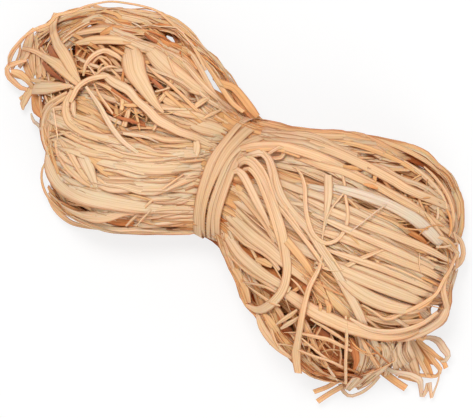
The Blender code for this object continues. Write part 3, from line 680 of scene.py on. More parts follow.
# For each bow end its locks: strands, width, tint, and the line of the lock over the hank
# as rows of x, y, lift and spread.
LOCKS = {
    SMALL: [(12, 3.2, 0.56, [(-4.5, 34, -1, 3), (-21.5, 42.5, 1, 6), (-38.5, 49.5, 1, 7),
        (-55.5, 52.5, 1, 6), (-73.5, 52.5, 1, 6), (-91.5, 49, 1, 6), (-108.5, 42.5, 1, 5),
        (-119, 33, 1, 5), (-123, 23.5, 0, 5), (-124.5, 11.5, -1, 4), (-120, 1.5, -2, 4)]),
     (9, 2.6, 0.52, [(-7.5, 37.5, 0, 3), (-18.5, 44, 1, 4), (-36.5, 52, 1, 4), (-54, 59, 1, 4),
        (-72, 60.5, 1, 4), (-89, 55, 1, 4), (-105.5, 49, 1, 3), (-118.5, 40.5, 1, 3),
        (-126.5, 31.5, 0, 2.5), (-131, 21, 0, 2)]),
     (12, 3.6, 0.5, [(-7, 29.5, -1, 4), (-26, 35.5, 2, 6), (-46.5, 41.5, 2, 7), (-66.5, 44.5, 2, 6),
        (-85, 41.5, 2, 5), (-100, 34, 2, 4), (-110.5, 25.5, 1, 4), (-114, 15, 0, 4),
        (-111, 4.5, -2, 4)]),
     (10, 3.6, 0.5, [(-6.5, 26, -1, 4), (-25.5, 27, 2, 7), (-45, 29.5, 2, 8), (-63, 31, 1, 7),
        (-76.5, 30.5, -1, 6), (-86, 29.5, -5, 5)]),
     (6, 2, 0.4, [(-109, 47.5, 0, 4), (-122, 36, 1, 4), (-128, 25, 1, 3), (-126.5, 15.5, 1, 4),
        (-121.5, 9, 0, 4), (-113.5, 2, -1, 4)]),
     (7, 2.4, 0.48, [(-104.5, 37, 0, 4), (-115.5, 28, 1, 4), (-118.5, 19, 0, 4), (-115, 11.5, -1, 4),
        (-109, 5.5, -2, 4)]),
     (6, 1.8, 0.6, [(-41.5, 50, 2, 5), (-53.5, 53.5, 3, 5), (-67.5, 53, 3, 5), (-80, 48.5, 2, 4),
        (-92, 42.5, 2, 4)]),
     (10, 3, 0.5, [(-6.5, 21, -1, 4), (-24, 17.5, 1, 5), (-41, 15.5, 1, 6), (-58.5, 14, 0, 6),
        (-75.5, 12.5, -2, 5), (-86, 13.5, -5, 4)]),
     (9, 2.6, 0.58, [(-7, 16, -1, 4), (-24.5, 9, 1, 5), (-42, 5.5, 0, 6), (-60, 4.5, 0, 6),
        (-76, 4.5, 0, 5), (-87.5, 5, -1, 4), (-94.5, 5.5, -4, 2)]),
     (10, 3.8, 0.35, [(-10.5, 10.5, -1, 4), (-28, 2, 2, 5), (-44.5, -5.5, 2, 6), (-62.5, -11, 2, 6),
        (-79, -13, 2, 6), (-93, -12.5, 1, 5), (-103.5, -14, -2, 4), (-106.5, -18.5, -8, 4)]),
     (10, 4.2, 0.3, [(-9.5, 4.5, -1, 4), (-26.5, -5.5, 2, 6), (-43.5, -15, 2, 6), (-62, -21, 2, 6),
        (-78, -23.5, 2, 6), (-90.5, -25, 0, 5), (-95.5, -28, -6, 4)]),
     (10, 4.4, 0.27, [(-9, -4, -1, 4), (-23.5, -15.5, 2, 6), (-39.5, -25, 2, 7), (-57, -30.5, 2, 7),
        (-72, -32.5, 2, 6), (-84, -32.5, 1, 5), (-90.5, -35.5, -5, 4)]),
     (9, 4.4, 0.3, [(-4.5, -15, -1, 4), (-19, -24, 1, 5), (-36.5, -33, 1, 6), (-52.5, -39.5, 1, 6),
        (-67.5, -42, 1, 6), (-80, -41, 1, 5), (-88, -41.5, -4, 4)]),
     (9, 3.6, 0.38, [(-1, -23, -1, 4), (-9.5, -28.5, 0, 4), (-20.5, -35.5, 1, 4), (-32.5, -41, 1, 5),
        (-48.5, -47.5, 1, 5), (-62.5, -50, 0, 5), (-75.5, -48.5, 0, 4), (-84, -47, -4, 3)]),
     (8, 3.4, 0.42, [(2.5, -28.5, -1, 3), (-6.5, -34.5, 0, 3), (-18, -40.5, 1, 3.5), (-31, -47, 1, 3.5),
        (-46, -53, 1, 3.5), (-60.5, -55, 0, 3.5), (-72, -53.5, 0, 3), (-80.5, -50, -4, 3)]),
     (8, 3, 0.55, [(-94.5, 0, 1, 1), (-99.5, -8.5, 1, 4), (-100.5, -16, 0, 4), (-97.5, -24.5, -1, 3),
        (-91, -31, -2, 3), (-84, -38.5, -3, 3), (-75, -43.5, -5, 3)]),
     (7, 2.6, 0.45, [(-93.5, 3, 2, 1), (-91.5, -8, 1, 5), (-85.5, -15, 0, 7), (-72.5, -15.5, -1, 7),
        (-56.5, -13, -3, 6)])],
    LARGE: [(12, 3, 0.38, [(0, 33, -1, 3), (11, 35, 0, 3.6), (31, 42, 1, 4.6), (51, 50, 1, 5),
        (71.5, 56.5, 1, 5), (85, 60.5, 1, 4.5), (92.5, 60.5, 1, 4), (99.5, 59, 0, 4),
        (107.5, 58.5, 0, 4), (114, 55, 0, 3.6), (120.5, 50.5, 0, 3.4), (125, 44, -1, 3.2),
        (128.5, 35.5, -3, 3), (127.5, 26.5, -7, 3)]),
     (10, 3.4, 0.42, [(-1, 30.5, -1, 3), (16, 35.5, 1, 4), (36, 41, 1, 5), (56.5, 47, 1, 5),
        (76, 52, 1, 5), (91.5, 54.5, 0, 5), (105, 52, 0, 5), (116, 45.5, -1, 4), (123, 34, -4, 4)]),
     (8, 4.4, 0.34, [(-1, 25.5, -1, 3), (13.5, 31, 3, 4), (30.5, 37.5, 3, 4), (49.5, 40.5, 3, 4),
        (69, 40, 3, 4), (88.5, 40.5, 3, 4), (107.5, 42, 2, 4), (123, 40.5, -2, 3)]),
     (10, 3.4, 0.4, [(1, 19, -1, 4), (17, 24, 2, 5), (33.5, 29.5, 2, 5), (51, 33, 2, 5), (71, 32, 1, 5),
        (90.5, 30, 1, 5), (110.5, 28.5, 0, 5), (127.5, 28, -3, 4)]),
     (12, 3, 0.44, [(2.5, 13.5, -1, 4), (18.5, 16.5, 1, 6), (36.5, 19, 1, 7), (56, 21, 1, 7),
        (76, 22, 1, 6), (96.5, 23, 1, 6), (118, 22, 0, 6), (135.5, 19.5, -4, 5)]),
     (12, 3, 0.36, [(4.5, 8, -1, 4), (21.5, 8.5, 1, 6), (41.5, 9, 1, 7), (63, 10, 1, 7),
        (84, 11.5, 1, 7), (106, 13, 1, 7), (126.5, 14, -1, 6), (138, 12, -5, 5)]),
     (12, 3, 0.38, [(5, 2.5, -1, 4), (22.5, 1.5, 1, 6), (44, 0, 1, 7), (66, 0, 1, 7), (87.5, 0.5, 1, 7),
        (109.5, 1.5, 1, 7), (129, 1.5, -1, 6), (141, 2, -5, 5)]),
     (12, 3.2, 0.42, [(5, -2.5, -1, 4), (24, -5.5, 1, 6), (45, -8.5, 1, 7), (66.5, -10, 1, 7),
        (87.5, -11, 1, 7), (110.5, -11.5, 0, 7), (130.5, -10, -2, 6), (141.5, -9, -6, 5)]),
     (10, 3.4, 0.5, [(6, -7, -1, 4), (22, -11.5, 2, 5), (40.5, -16.5, 2, 6), (60, -23.5, 2, 6),
        (79, -29, 1, 5), (95.5, -35, 1, 4), (111, -39.5, -2, 4)]),
     (7, 3.2, 0.44, [(7, -11, -1, 4), (20, -16.5, 0, 5), (36, -24, 0, 6), (53, -31, 0, 6),
        (67.5, -35, -1, 6), (77, -36.5, -6, 5)]),
     (6, 3.2, 0.46, [(9, -16.5, -1, 3), (20, -24, 0, 4), (33.5, -33, 0, 5), (46.5, -41, 0, 5),
        (56.5, -44, -1, 5), (65, -45.5, -5, 4)]),
     (9, 3.2, 0.44, [(11, -21.5, -1, 3), (22, -32, 0, 3.5), (33.5, -42, 0, 3.5), (45.5, -50.5, -1, 3.5),
        (56, -55, -2, 3.5), (68, -59.5, -3, 3.5), (82, -62, -4, 3.5), (97, -63.5, -5, 3.5)]),
     (4, 3.6, 0.34, [(69, -42, 1, 1.5), (82.5, -42, 2, 1.6), (96.5, -41.5, 3, 1.8), (110, -38, 2, 2),
        (122, -32, 2, 2), (132.5, -22.5, 1, 2.2), (140.5, -14, -1, 2.4), (141.5, -5.5, -2, 2.4),
        (138, 3.5, -3, 2.4), (137.5, 16.5, -4, 2.4)]),
     (7, 2.6, 0.5, [(55, -57, -8, 3), (68, -62, -8, 3.5), (81.5, -64.5, -8, 3.5), (96, -65.5, -8, 3.5),
        (110.5, -66, -8, 3)]),
     (7, 3.4, 0.4, [(98, -39, 1, 2), (106, -44.5, 1, 2.5), (112, -51, 0, 3), (115.5, -59.5, -2, 3),
        (116, -68.5, -5, 2), (116, -72.5, -8, 2)]),
     (7, 3, 0.24, [(107.5, -40, 1, 2), (115, -45.5, 0, 3), (119, -51, -1, 3), (119, -59.5, -3, 3),
        (117.5, -69, -6, 2)]),
     (6, 2.8, 0.24, [(118, -38.5, 1, 2), (124.5, -42.5, 0, 3), (126, -50, -2, 3), (123.5, -59, -4, 3),
        (120.5, -69, -7, 2)]),
     (6, 3.4, 0.2, [(128, -31, 1, 3), (131, -37.5, 0, 3.5), (139, -42.5, -2, 3.5),
        (147, -46.5, -5, 3)]),
     (5, 3.6, 0.2, [(125, -32.5, 0, 3), (125.5, -40, -1, 3), (126.5, -47.5, -3, 3),
        (129, -55.5, -6, 3)]),
     # Painted shade: these two locks lie deep in the cavity and take dark tints.
     (12, 3.4, 0.92, [(38, -24.5, -16, 8), (58, -35, -20, 9), (77.5, -43.5, -22, 9),
        (95, -49.5, -22, 9), (112.5, -54.5, -20, 8), (126.5, -60.5, -18, 5)]),
     (9, 3, 0.85, [(63, -39.5, -12, 6), (77.5, -48, -13, 7), (91, -54, -14, 7), (105, -60.5, -14, 6),
        (116, -66, -12, 4)])],
}
# For each piece its single strips over the hank: tint, the line of the strip as rows of x,
# y, lift and width, and its curl.
STRIPS = {
    "leaf_by_the_eye": [(0.33, [(-126.5, 38, 6, 4.4), (-125.5, 32.5, 6, 5.4), (-122.5, 27.5, 6, 5.2),
        (-116.5, 22.5, 6, 5.6), (-110.5, 19.5, 6, 6.6), (-104.5, 16, 6, 6.4), (-98.5, 12, 5, 4.6),
        (-93, 9, 4, 1.6)])],
    "leaf_at_small_tip": [(0.34, [(-134.5, 11.5, 4, 2), (-127, 13, 5, 2.6), (-117, 12.5, 6, 4),
        (-109, 12, 6, 6.4), (-102.5, 10.5, 6, 6.6), (-97, 8.5, 5, 4), (-93.5, 7, 4, 1.6)])],
    "wedge_leaf": [(0.27, [(-117.5, -5.5, 3, 7.4), (-112, -3.5, 4, 7.6), (-107, -1, 4, 6.6),
        (-102, 2, 5, 4.6), (-95.5, 5.5, 4, 1.2)])],
    "thin_strand_at_small_tip": [(0.35, [(-135, -5, 1, 2), (-125.5, -3, 2, 2.2), (-111, 0.5, 3, 2.5),
        (-94.5, 5, 4, 1.5)])],
    "small_arch": [(0.3, [(-93, -3, 3, 2.5), (-93, 4.5, 5, 3), (-90.5, 11, 6, 3), (-85.5, 16, 6, 3),
        (-81, 19, 4, 2)])],
    "long_turning_strand": [(0.33, [(-95, 3.5, 4, 2), (-94.5, -5, 3, 4), (-89, -12, 3, 5),
        (-80, -13.5, 3, 5.5), (-67, -12, 3, 5), (-51.5, -8.5, 3, 4.5), (-36.5, -4.5, 3, 4),
        (-15.5, 8.5, 1, 4)], 0.06)],
    "bright_leaf": [(0.24, [(-88.5, 17, 3, 1.5), (-83, 18.5, 4, 3.5), (-76.5, 17.5, 5, 5),
        (-69, 17.5, 6, 5.2), (-60, 14.5, 6, 4.2), (-53, 13, 6, 4.8), (-44.5, 10.5, 6, 5.2),
        (-34.5, 10.5, 6, 4.6), (-24.5, 12, 4, 4.2), (-11.5, 12.5, 0, 4)], 0.03)],
    "widest_leaf": [(0.3, [(-81, 40, -1, 3), (-77, 37.5, 2, 8), (-73.5, 33.5, 5, 12.5),
        (-69.5, 28.5, 5, 12), (-63.5, 24.5, 5, 9.5), (-56.5, 20.5, 5, 6.5), (-50.5, 17.5, 4, 4),
        (-45, 15.5, 3, 1.4)], 0.02)],
    "diagonal_leaf": [(0.16, [(-89, 8.5, 5, 1.6), (-78, 3, 5, 2.6), (-66, -4.5, 5, 3),
        (-56.5, -8.5, 5, 2.8), (-50.5, -9.5, 4, 2.4), (-44.5, -10.5, 2, 1.2)])],
    "thin_diagonal": [(0.3, [(-96.5, -27, 1, 1), (-89, -20.5, 2, 1.2), (-77, -11.5, 3, 1)])],
    "long_upper_leaf": [(0.3, [(-71, 43.5, 1, 4), (-63, 40.5, 3, 9.5), (-54, 38, 3, 10),
        (-44, 36.5, 3, 9), (-34.5, 35.5, 3, 6), (-27.5, 35.5, 2, 1.5)], 0.03)],
    "bright_upper_strip": [(0.25, [(-52.5, 46, 2, 1), (-45, 43.5, 4, 2.2), (-36.5, 40, 5, 2.6),
        (-28, 37.5, 5, 2.8), (-19, 36, 4, 2.8), (-7, 36.5, 0, 2.6)], 0.03)],
    "dark_lined_strip": [(0.4, [(-67.5, 35, 2, 1), (-58.5, 32, 4, 1.6), (-50.5, 31, 5, 1.8),
        (-39, 28, 4, 2), (-30.5, 25.5, 3, 2), (-23.5, 23.5, 1, 1)])],
    "upright_thin_strip": [(0.35, [(-63, 48, 2, 0.8), (-57, 43, 5, 1.4), (-51.5, 38.5, 5, 1.2),
        (-46.5, 35, 3, 0.7)])],
    "short_stub": [(0.35, [(-32, 26, 3, 2), (-30.5, 29.5, 5, 3.2), (-27.5, 35, 4, 2)])],
    "stub_fork": [(0.35, [(-25, 23, 3, 1), (-22.5, 27, 5, 2), (-18.5, 32.5, 4, 1.2)])],
    "hanging_flap": [(0.25, [(-22.5, 10.5, 3, 3.4), (-20.5, 7.5, 4, 4.2), (-19.5, 4, 3, 3.6),
        (-18.5, 1, 2, 1)])],
    "upper_leaf": [(0.42, [(-51, 22.5, 1, 2), (-43.5, 22, 2, 5), (-34.5, 23, 2, 6), (-25.5, 25.5, 2, 4),
        (-16.5, 27, 0, 3)], 0.03)],
    "rim_leaf": [(0.34, [(-107, 26.5, 1, 2), (-98, 33, 3, 5), (-87, 38.5, 3, 5), (-74.5, 43, 2, 3.5),
        (-63, 42.5, 0, 2)], 0.05)],
    "cross_leaf": [(0.3, [(-48.5, 18, 1, 3), (-37.5, 20, 3, 4.5), (-28, 23, 3, 4), (-19, 24, 3, 3.5),
        (-10, 24, 0, 3)], 0.06)],
    "flat_leaf": [(0.28, [(-33.5, 17.5, 1, 4), (-25.5, 18.5, 2, 8), (-18, 20.5, 3, 9),
        (-10, 21.5, 0, 6)], 0.04)],
    "yellow_flake": [(0.74, [(-20.5, 25, 2, 4), (-17.5, 28, 3, 6.5), (-13, 30.5, 3, 6.5),
        (-8.5, 32, 1, 4)])],
    "wide_pale_upper": [(0.27, [(-93.5, -25, 0, 3), (-84.5, -23.5, 2, 5.5), (-72, -21, 3, 7.5),
        (-59, -17, 3, 7), (-44.5, -12, 3, 4.5), (-31, -4, 3, 4), (-11.5, 8, -1, 3.6)], 0.03)],
    "middle_ribbon": [(0.2, [(-62.5, -34.5, 1, 3), (-54, -34, 3, 5.5), (-38.5, -26, 3, 6),
        (-23.5, -18, 3, 6), (-5.5, -10.5, -1, 6)], 0.02)],
    "middle_leaf_folded": [(0.42, [(-68.5, -23, 0, 5), (-60.5, -24.5, 2, 8), (-50.5, -24.5, 2, 8.5),
        (-39, -23.5, 2, 6), (-28.5, -22.5, 1, 2)], 0.02)],
    "wide_pale_middle": [(0.24, [(-60, -20, 0, 3), (-51, -18.5, 3, 6), (-39.5, -15, 3, 7.5),
        (-28, -9, 3, 7), (-18.5, -2, 1, 6.5), (-11.5, 3, -1, 6)], 0.02)],
    "wide_pale_lower": [(0.17, [(-92.5, -31.5, -1, 4), (-86.5, -37.5, 2, 11), (-77.5, -43, 3, 13),
        (-64, -44, 3, 12), (-49, -40.5, 3, 10), (-30.5, -34.5, 3, 7), (-16, -28, 2, 5),
        (-0.5, -19.5, -1, 5)])],
    "dark_orange_leaf": [(0.72, [(-85, -50, -1, 2), (-77, -54.5, 0, 6), (-67, -55.5, 1, 6),
        (-56, -53, 1, 3)])],
    "folded_leaf": [(0.2, [(-78, -22, -3, 5), (-74, -24.5, 1.5, 7.4), (-68.5, -28.5, 4, 7),
        (-63, -33, 4, 5), (-57.5, -38, 2, 1.5)], -0.08)],
    "fan_leaf": [(0.3, [(-90.5, -25, 1, 2), (-85, -30.5, 3, 4), (-77, -35, 4, 4), (-68.5, -37, 4, 4),
        (-58.5, -37.5, 2, 2)]),
     (0.33, [(-89, -23, 1, 2), (-81.5, -26.5, 3, 3.5), (-74, -31, 4, 3.5), (-67, -35, 4, 3),
        (-60, -37, 2, 2)])],
    "lower_cross_leaf": [(0.24, [(-30.5, -27.5, 1, 3), (-24, -17, 3, 6), (-17.5, -8.5, 3, 7),
        (-9.5, -0.5, -1, 5)], 0.04)],
    "lower_diagonal_thin": [(0.3, [(-35, -48.5, 1, 1.2), (-32, -39.5, 3, 1.5), (-28.5, -29, 3, 1.5)])],
    "lower_leaf": [(0.24, [(-82, -53, 0, 1.6), (-69.5, -55.5, 2, 2), (-60.5, -55, 3, 4),
        (-53, -52.5, 3, 6.6), (-46.5, -49, 3, 6), (-39, -42, 3, 4.4), (-31, -36.5, 3, 4),
        (-19.5, -28.5, 2, 4), (-2, -19.5, -1, 4)])],
    "upright_leaf": [(0.38, [(-64, 13.5, 2, 2), (-62, 7, 3, 2.5), (-60.5, -1, 2, 3)])],
    "top_wide_leaf": [(0.3, [(7, 31, 1, 3), (18.5, 35, 3, 4.6), (30.5, 38, 4, 5.2),
        (40.5, 39.5, 5, 5.2), (49.5, 40.5, 5, 5.4), (59, 41, 5, 5.4), (73, 41.5, 5, 5.4),
        (82, 41.5, 5, 5.2), (88.5, 41, 5, 5.2), (96.5, 41.5, 5, 5.2), (108, 43, 4, 5),
        (114.5, 43.5, 3, 4.4), (120.5, 43.5, 1, 3)])],
    "second_wide_leaf": [(0.34, [(10.5, 24.5, 1, 3), (22.5, 27.5, 3, 4), (34.5, 29.5, 4, 4.4),
        (45, 30.5, 4, 4.2), (53.5, 32.5, 4, 4), (66.5, 33.5, 4, 3.8), (76, 34, 4, 3.2),
        (88, 33.5, 4, 2.8), (99, 33.5, 4, 2.8), (106, 33.5, 4, 3), (118.5, 32, 3, 3.4),
        (128, 31, 1, 3)])],
    "low_diagonal_leaf": [(0.24, [(64.5, -13.5, 2, 3), (74.5, -14.5, 3, 5.5), (84, -14, 4, 6.4),
        (94.5, -13, 4, 6.8), (107.5, -11.5, 4, 6.6), (120.5, -10, 3, 5.6), (132.5, -9, 1, 2.4)])],
    "end_outline_strip": [(0.33, [(125.5, 33, 4, 1.4), (131, 28, 3, 1.8), (133, 22, 3, 1.9),
        (133, 14.5, 5, 2), (132, 7, 6, 2), (132, 0, 6, 2), (128.5, -8, 5, 2.2), (121.5, -17.5, 4, 2.2),
        (113, -26, 2, 1.2)])],
    "parallel_strip": [(0.26, [(41, 10.5, 2, 2), (58.5, 11, 3, 4.4), (77, 13, 3, 4.6),
        (96.5, 15.5, 3, 4.6), (116, 17.5, 3, 4.2), (132.5, 18, 0, 2)], 0.01),
     (0.3, [(52.5, -3, 2, 2), (68, 0.5, 3, 4.4), (86, 3, 3, 5), (105, 5, 3, 5), (123, 7, 3, 4.2),
        (134.5, 6.5, 0, 2)], 0.01),
     (0.27, [(74.5, -12, 2, 2), (88, -9.5, 3, 4.6), (104, -7.5, 3, 5.2), (119.5, -5.5, 3, 4.6),
        (133, -3, 0, 2)], 0.01),
     (0.24, [(51, 5, 2, 1.5), (67.5, 6, 4, 3.6), (86, 7.5, 4, 4.2), (105, 9, 4, 4), (124, 10, 2, 2.4)]),
     (0.28, [(66.5, -8.5, 2, 1.5), (81, -6, 4, 3.6), (97, -3.5, 4, 4), (115, -1.5, 4, 3.8),
        (131.5, -0.5, 2, 2)]),
     (0.36, [(91, -3.5, 2, 1), (103, -0.5, 4, 2.4), (116, 0.5, 4, 2.4), (128, 1, 2, 1.2)])],
    "grey_leaf": [(0.02, [(52.5, 22.5, 1, 3), (63, 25, 4, 5), (70, 26.5, 4, 5.8), (79, 28, 4, 6),
        (88.5, 29, 4, 6), (95.5, 29, 4, 6.4), (103, 28.5, 4, 7), (109.5, 27, 3, 7.4),
        (115.5, 25.5, 3, 7), (121.5, 23.5, 2, 5)]),
     (0.02, [(40, 17, 1, 2), (48.5, 19, 2, 3.4), (58, 22, 2, 3.4), (66, 22.5, 1, 1.4)])],
    "orange_spot_leaf": [(0.72, [(68, 32, 6, 1), (72, 33, 7, 2.2), (76, 33.5, 6, 1)])],
    "orange_leaf": [(0.46, [(39, -17.5, 0, 3), (49, -20.5, 1, 5), (62, -24, 1, 6), (74.5, -28, 1, 6),
        (88, -32, 1, 5.4), (98, -36.5, 0, 3)]),
     (0.5, [(28, -8.5, 2, 2), (37.5, -11, 4, 4), (49.5, -15.5, 4, 4.4), (61, -20.5, 4, 4),
        (69.5, -25.5, 2, 2)])],
    "panel_leaf": [(0.26, [(8.5, -16, -1, 4), (17, -18, 3, 6.4), (28.5, -21, 4, 7), (39, -22.5, 4, 6.6),
        (49, -25, 3, 5.6), (59.5, -27, 2, 4.4), (68, -29, 1, 3)], 0.05)],
    "low_panel_leaf": [(0.24, [(12, -25, -1, 3), (19, -28.5, 3, 5), (27, -32.5, 3, 6),
        (34.5, -34.5, 3, 6.2), (43.5, -36, 3, 5.8), (52.5, -36.5, 3, 5), (60, -37, 2, 4)], 0.05)],
    "band_leaf": [(0.3, [(57.5, -39, 0.5, 5), (63, -39.5, 2, 6.4), (71.5, -40.5, 2.5, 7),
        (80, -41, 3, 7.4), (88, -40.5, 4, 7.4), (95.5, -40, 5, 7.2), (103.5, -38.5, 5.5, 6.6),
        (111.5, -37, 5, 6.2), (120, -33.5, 5, 6), (126.5, -29.5, 4, 5.4), (132.5, -23, 3, 4.6)])],
    "knot_leaf": [(0.36, [(5, -2.5, 0, 3), (14, -4, 3, 4.4), (23.5, -7.5, 3, 5), (33.5, -12, 3, 4.6),
        (41, -17.5, 2, 3)], 0.05)],
    "strip_over_cavity": [(0.33, [(76, -55, 3, 1), (84.5, -52.5, 4, 2), (93, -50.5, 4, 2.2),
        (105.5, -50.5, 2, 1.5)]),
     (0.3, [(78.5, -64, 3, 1), (90, -62.5, 4, 1.5), (97.5, -61, 4, 1.5), (106, -60.5, 3, 1)]),
     (0.35, [(77, -45.5, 2, 1), (88, -46, 3, 1.8), (97.5, -47, 3, 1.6), (103, -48.5, 2, 1)]),
     (0.5, [(74, -48, 1, 1), (82, -54, 1, 2.2), (90, -60.5, 1, 1.5)]),
     (0.3, [(65, -69, 1, 0.8), (71, -65.5, 2, 1.2), (78, -63, 2, 1.2)]),
     (0.45, [(84.5, -46, -2, 1), (84.5, -55, -2, 1.6), (85.5, -65, -3, 1.2)])],
    "upright_over_cavity": [(0.3, [(93, -35, 4, 1.2), (99, -45, 6, 1.8), (105.5, -57.5, 6, 1.8),
        (113, -69, 3, 1.6)])],
    "tip_wide_leaf": [(0.3, [(-135, 22.5, 2, 3), (-133.5, 18, 3, 6.5), (-132, 13, 3, 7.5),
        (-131, 7, 3, 6), (-131, 1, 2, 2.4)])],
    "tip_cross": [(0.36, [(-134.5, 24.5, 2, 1.4), (-136.5, 18, 3, 2), (-137.5, 12, 3, 2.2),
        (-138, 5.5, 2, 2), (-137, -1, 1, 2)]),
     (0.33, [(-138.5, 14.5, 2, 1), (-135, 9.5, 3, 1.8), (-134, 4, 3, 2), (-134.5, -2.5, 2, 2)])],
    "tip_upright": [(0.36, [(-131.5, 21.5, 2, 2), (-127, 16, 3, 3.2), (-122.5, 9.5, 3, 3),
        (-116, 1.5, 1, 2)]),
     (0.42, [(-128.5, 21.5, 2, 1.6), (-123.5, 15.5, 3, 2.4), (-118.5, 9.5, 3, 2.4),
        (-113, 2.5, 1, 1.6)]),
     (0.34, [(-132.5, 19, 2, 1.4), (-128, 13.5, 3, 2.2), (-124, 7, 3, 2), (-120, 1.5, 1, 1.4)]),
     (0.74, [(-114.5, 18, -1, 1), (-110, 15, 0, 1.4), (-106, 11.5, 0, 1.4), (-101.5, 8, -1, 1)]),
     (0.36, [(-131.5, 15.5, 2, 1.6), (-129, 10.5, 2, 3), (-125.5, 6, 2, 3), (-121, 0.5, 1, 1.6)]),
     (0.5, [(-130, 7.5, 1, 1.2), (-126, 3.5, 2, 2), (-120.5, -0.5, 1, 1.4)]),
     (0.45, [(-128.5, 16, 0, 1.6), (-125, 10, 1, 2.6), (-121.5, 5, 1, 2.6), (-117, -0.5, 0, 1.6)])],
    "tip_slant": [(0.34, [(-132.5, 24, 2, 1.4), (-129.5, 25.5, 3, 2.4), (-126.5, 29.5, 3, 2.4),
        (-124.5, 33.5, 2, 1.4)]),
     (0.42, [(-130.5, 18.5, 2, 1.2), (-129, 22.5, 3, 2), (-126.5, 26.5, 3, 2), (-125, 30, 2, 1.2)])],
    "tip_fan": [(0.33, [(-128.5, 19, 3, 1), (-126.5, 23, 4, 1.3), (-124.5, 27.5, 3, 1)]),
     (0.38, [(-125.5, 16.5, 3, 0.8), (-123.5, 22, 4, 1.1), (-122.5, 26.5, 3, 0.8)]),
     (0.33, [(-121, 15, 2, 0.8), (-121.5, 20.5, 4, 1.1), (-121.5, 25, 3, 0.8)]),
     (0.4, [(-118, 13.5, 2, 0.8), (-117, 18.5, 3, 1.1), (-116.5, 23, 2, 0.8)]),
     (0.33, [(-128, 18, 3, 0.9), (-121.5, 15, 4, 1.2), (-115, 13.5, 3, 0.9)])],
    "orange_corner_leaf": [(0.78, [(-116.5, -7, 0, 3), (-113.5, -11, 1, 6.5), (-109, -14, 1, 7.5),
        (-104, -16.5, 1, 4)])],
    "corner_curl": [(0.32, [(-105.5, -16, 1, 1), (-104, -9.5, 3, 2.2), (-100.5, -4.5, 4, 2.4),
        (-97, 1, 3, 1.6)]),
     (0.36, [(-102.5, -18, 1, 1), (-101, -10, 3, 1.8), (-98, -4.5, 4, 2), (-95, 0.5, 3, 1.4)]),
     (0.3, [(-102.5, -14, 1, 1.2), (-98.5, -9.5, 3, 2.6), (-93.5, -7, 3, 2.2), (-88.5, -6.5, 1, 1)])],
    "eye_arch": [(0.32, [(-93.5, 13, 1, 1.2), (-95, 20, 4, 2.2), (-93, 26.5, 5, 2.8), (-88, 31, 5, 3),
        (-82, 31, 5, 2.6), (-77.5, 29.5, 2, 1.4)]),
     (0.4, [(-90.5, 16.5, 0, 1), (-92, 21.5, 2, 1.2), (-90, 26.5, 3, 1.4), (-85, 27, 2, 1.1),
        (-82, 25, 0, 0.8)]),
     (0.36, [(-86.5, 17, 2, 0.8), (-87.5, 21, 5, 1), (-86, 24.5, 6, 1.1), (-84.5, 23, 5, 1),
        (-85.5, 19, 3, 0.7)])],
    "eye_curl": [(0.55, [(-102, 26, -2, 0.8), (-103, 21, -3, 1.4), (-100, 16, -4, 1.5),
        (-95.5, 13.5, -4, 0.8)]),
     (0.62, [(-99.5, 26.5, -4, 1), (-99.5, 21, -6, 2), (-95.5, 16.5, -7, 2.2), (-91, 15.5, -6, 1)]),
     (0.6, [(-108.5, 24, -1, 0.8), (-105, 20, -3, 1.3), (-100.5, 15.5, -4, 1.3),
        (-95.5, 12, -3, 0.8)])],
    "node_strand": [(0.3, [(-85.5, 15, 3, 0.8), (-89.5, 17.5, 5, 1.2), (-94.5, 19.5, 4, 0.8)]),
     (0.3, [(-87, 15, 3, 0.8), (-86, 20, 6, 1.2), (-82, 24.5, 6, 1.2), (-78, 25.5, 3, 0.8)]),
     (0.42, [(-85.5, 13, 2, 1), (-78.5, 13.5, 4, 2), (-70.5, 12.5, 4, 2.2), (-62, 10.5, 3, 2),
        (-54, 9, 1, 1)]),
     (0.38, [(-86, 12, 2, 0.8), (-80.5, 8, 4, 1.4), (-72.5, 4, 4, 1.6), (-66.5, 1, 2, 0.8)])],
    "rim_strip": [(0.28, [(-112.5, 38, 1, 1.5), (-106, 43.5, 3, 3), (-97, 49, 3, 3.6),
        (-86.5, 52.5, 3, 3), (-76.5, 55, 1, 1.5)]),
     (0.33, [(-112, 29.5, 1, 1.5), (-105.5, 34.5, 3, 3), (-98, 39.5, 3, 3.4), (-88, 44.5, 3, 3),
        (-77, 48, 1, 1.5)]),
     (0.62, [(-121, 31.5, 0, 1.5), (-115, 38, 2, 3), (-109, 46, 2, 3), (-101, 52.5, 1, 1.5)]),
     (0.75, [(-96.5, 37.5, 2, 1.5), (-92.5, 42, 4, 4), (-89.5, 45, 4, 3.6), (-85, 46, 2, 1.5)])],
    "rim_wave": [(0.5, [(-100.5, 51.5, 0, 0.8), (-98, 55, 0, 1.6), (-93.5, 56.5, 0, 1.8),
        (-89.5, 56.5, 0, 1.4), (-87.5, 58.5, 0, 0.6)]),
     (0.8, [(-82.5, 56.5, 0, 0.6), (-80.5, 60, 0, 0.9), (-76.5, 61.5, 0, 0.9), (-72, 62, 0, 0.6)]),
     (0.45, [(-114.5, 47, 0, 0.8), (-111.5, 51, 0, 1.8), (-105.5, 52, 0, 1.8), (-99.5, 52.5, 0, 1)])],
    "golden_curl": [(0.86, [(-66.5, 51, 1, 1.2), (-61.5, 50, 3, 3), (-57, 51.5, 3, 3.6),
        (-52, 52, 1, 2)]),
     (0.8, [(-72.5, 50.5, 1, 1.2), (-67.5, 48, 3, 2), (-61.5, 46, 3, 2.4), (-55.5, 47, 2, 2),
        (-50, 47.5, 0, 1)]),
     (0.66, [(-77.5, 51.5, 0, 1), (-73.5, 49, 1, 1.4), (-69, 48.5, 1, 1.4), (-65, 48, 0, 0.8)])],
    "side_strip": [(0.3, [(-53, 53.5, 1, 1.2), (-46.5, 51, 3, 3), (-40, 47, 3, 3.2), (-32.5, 42, 3, 3),
        (-25, 37.5, 2, 3), (-17, 36.5, 0, 2)]),
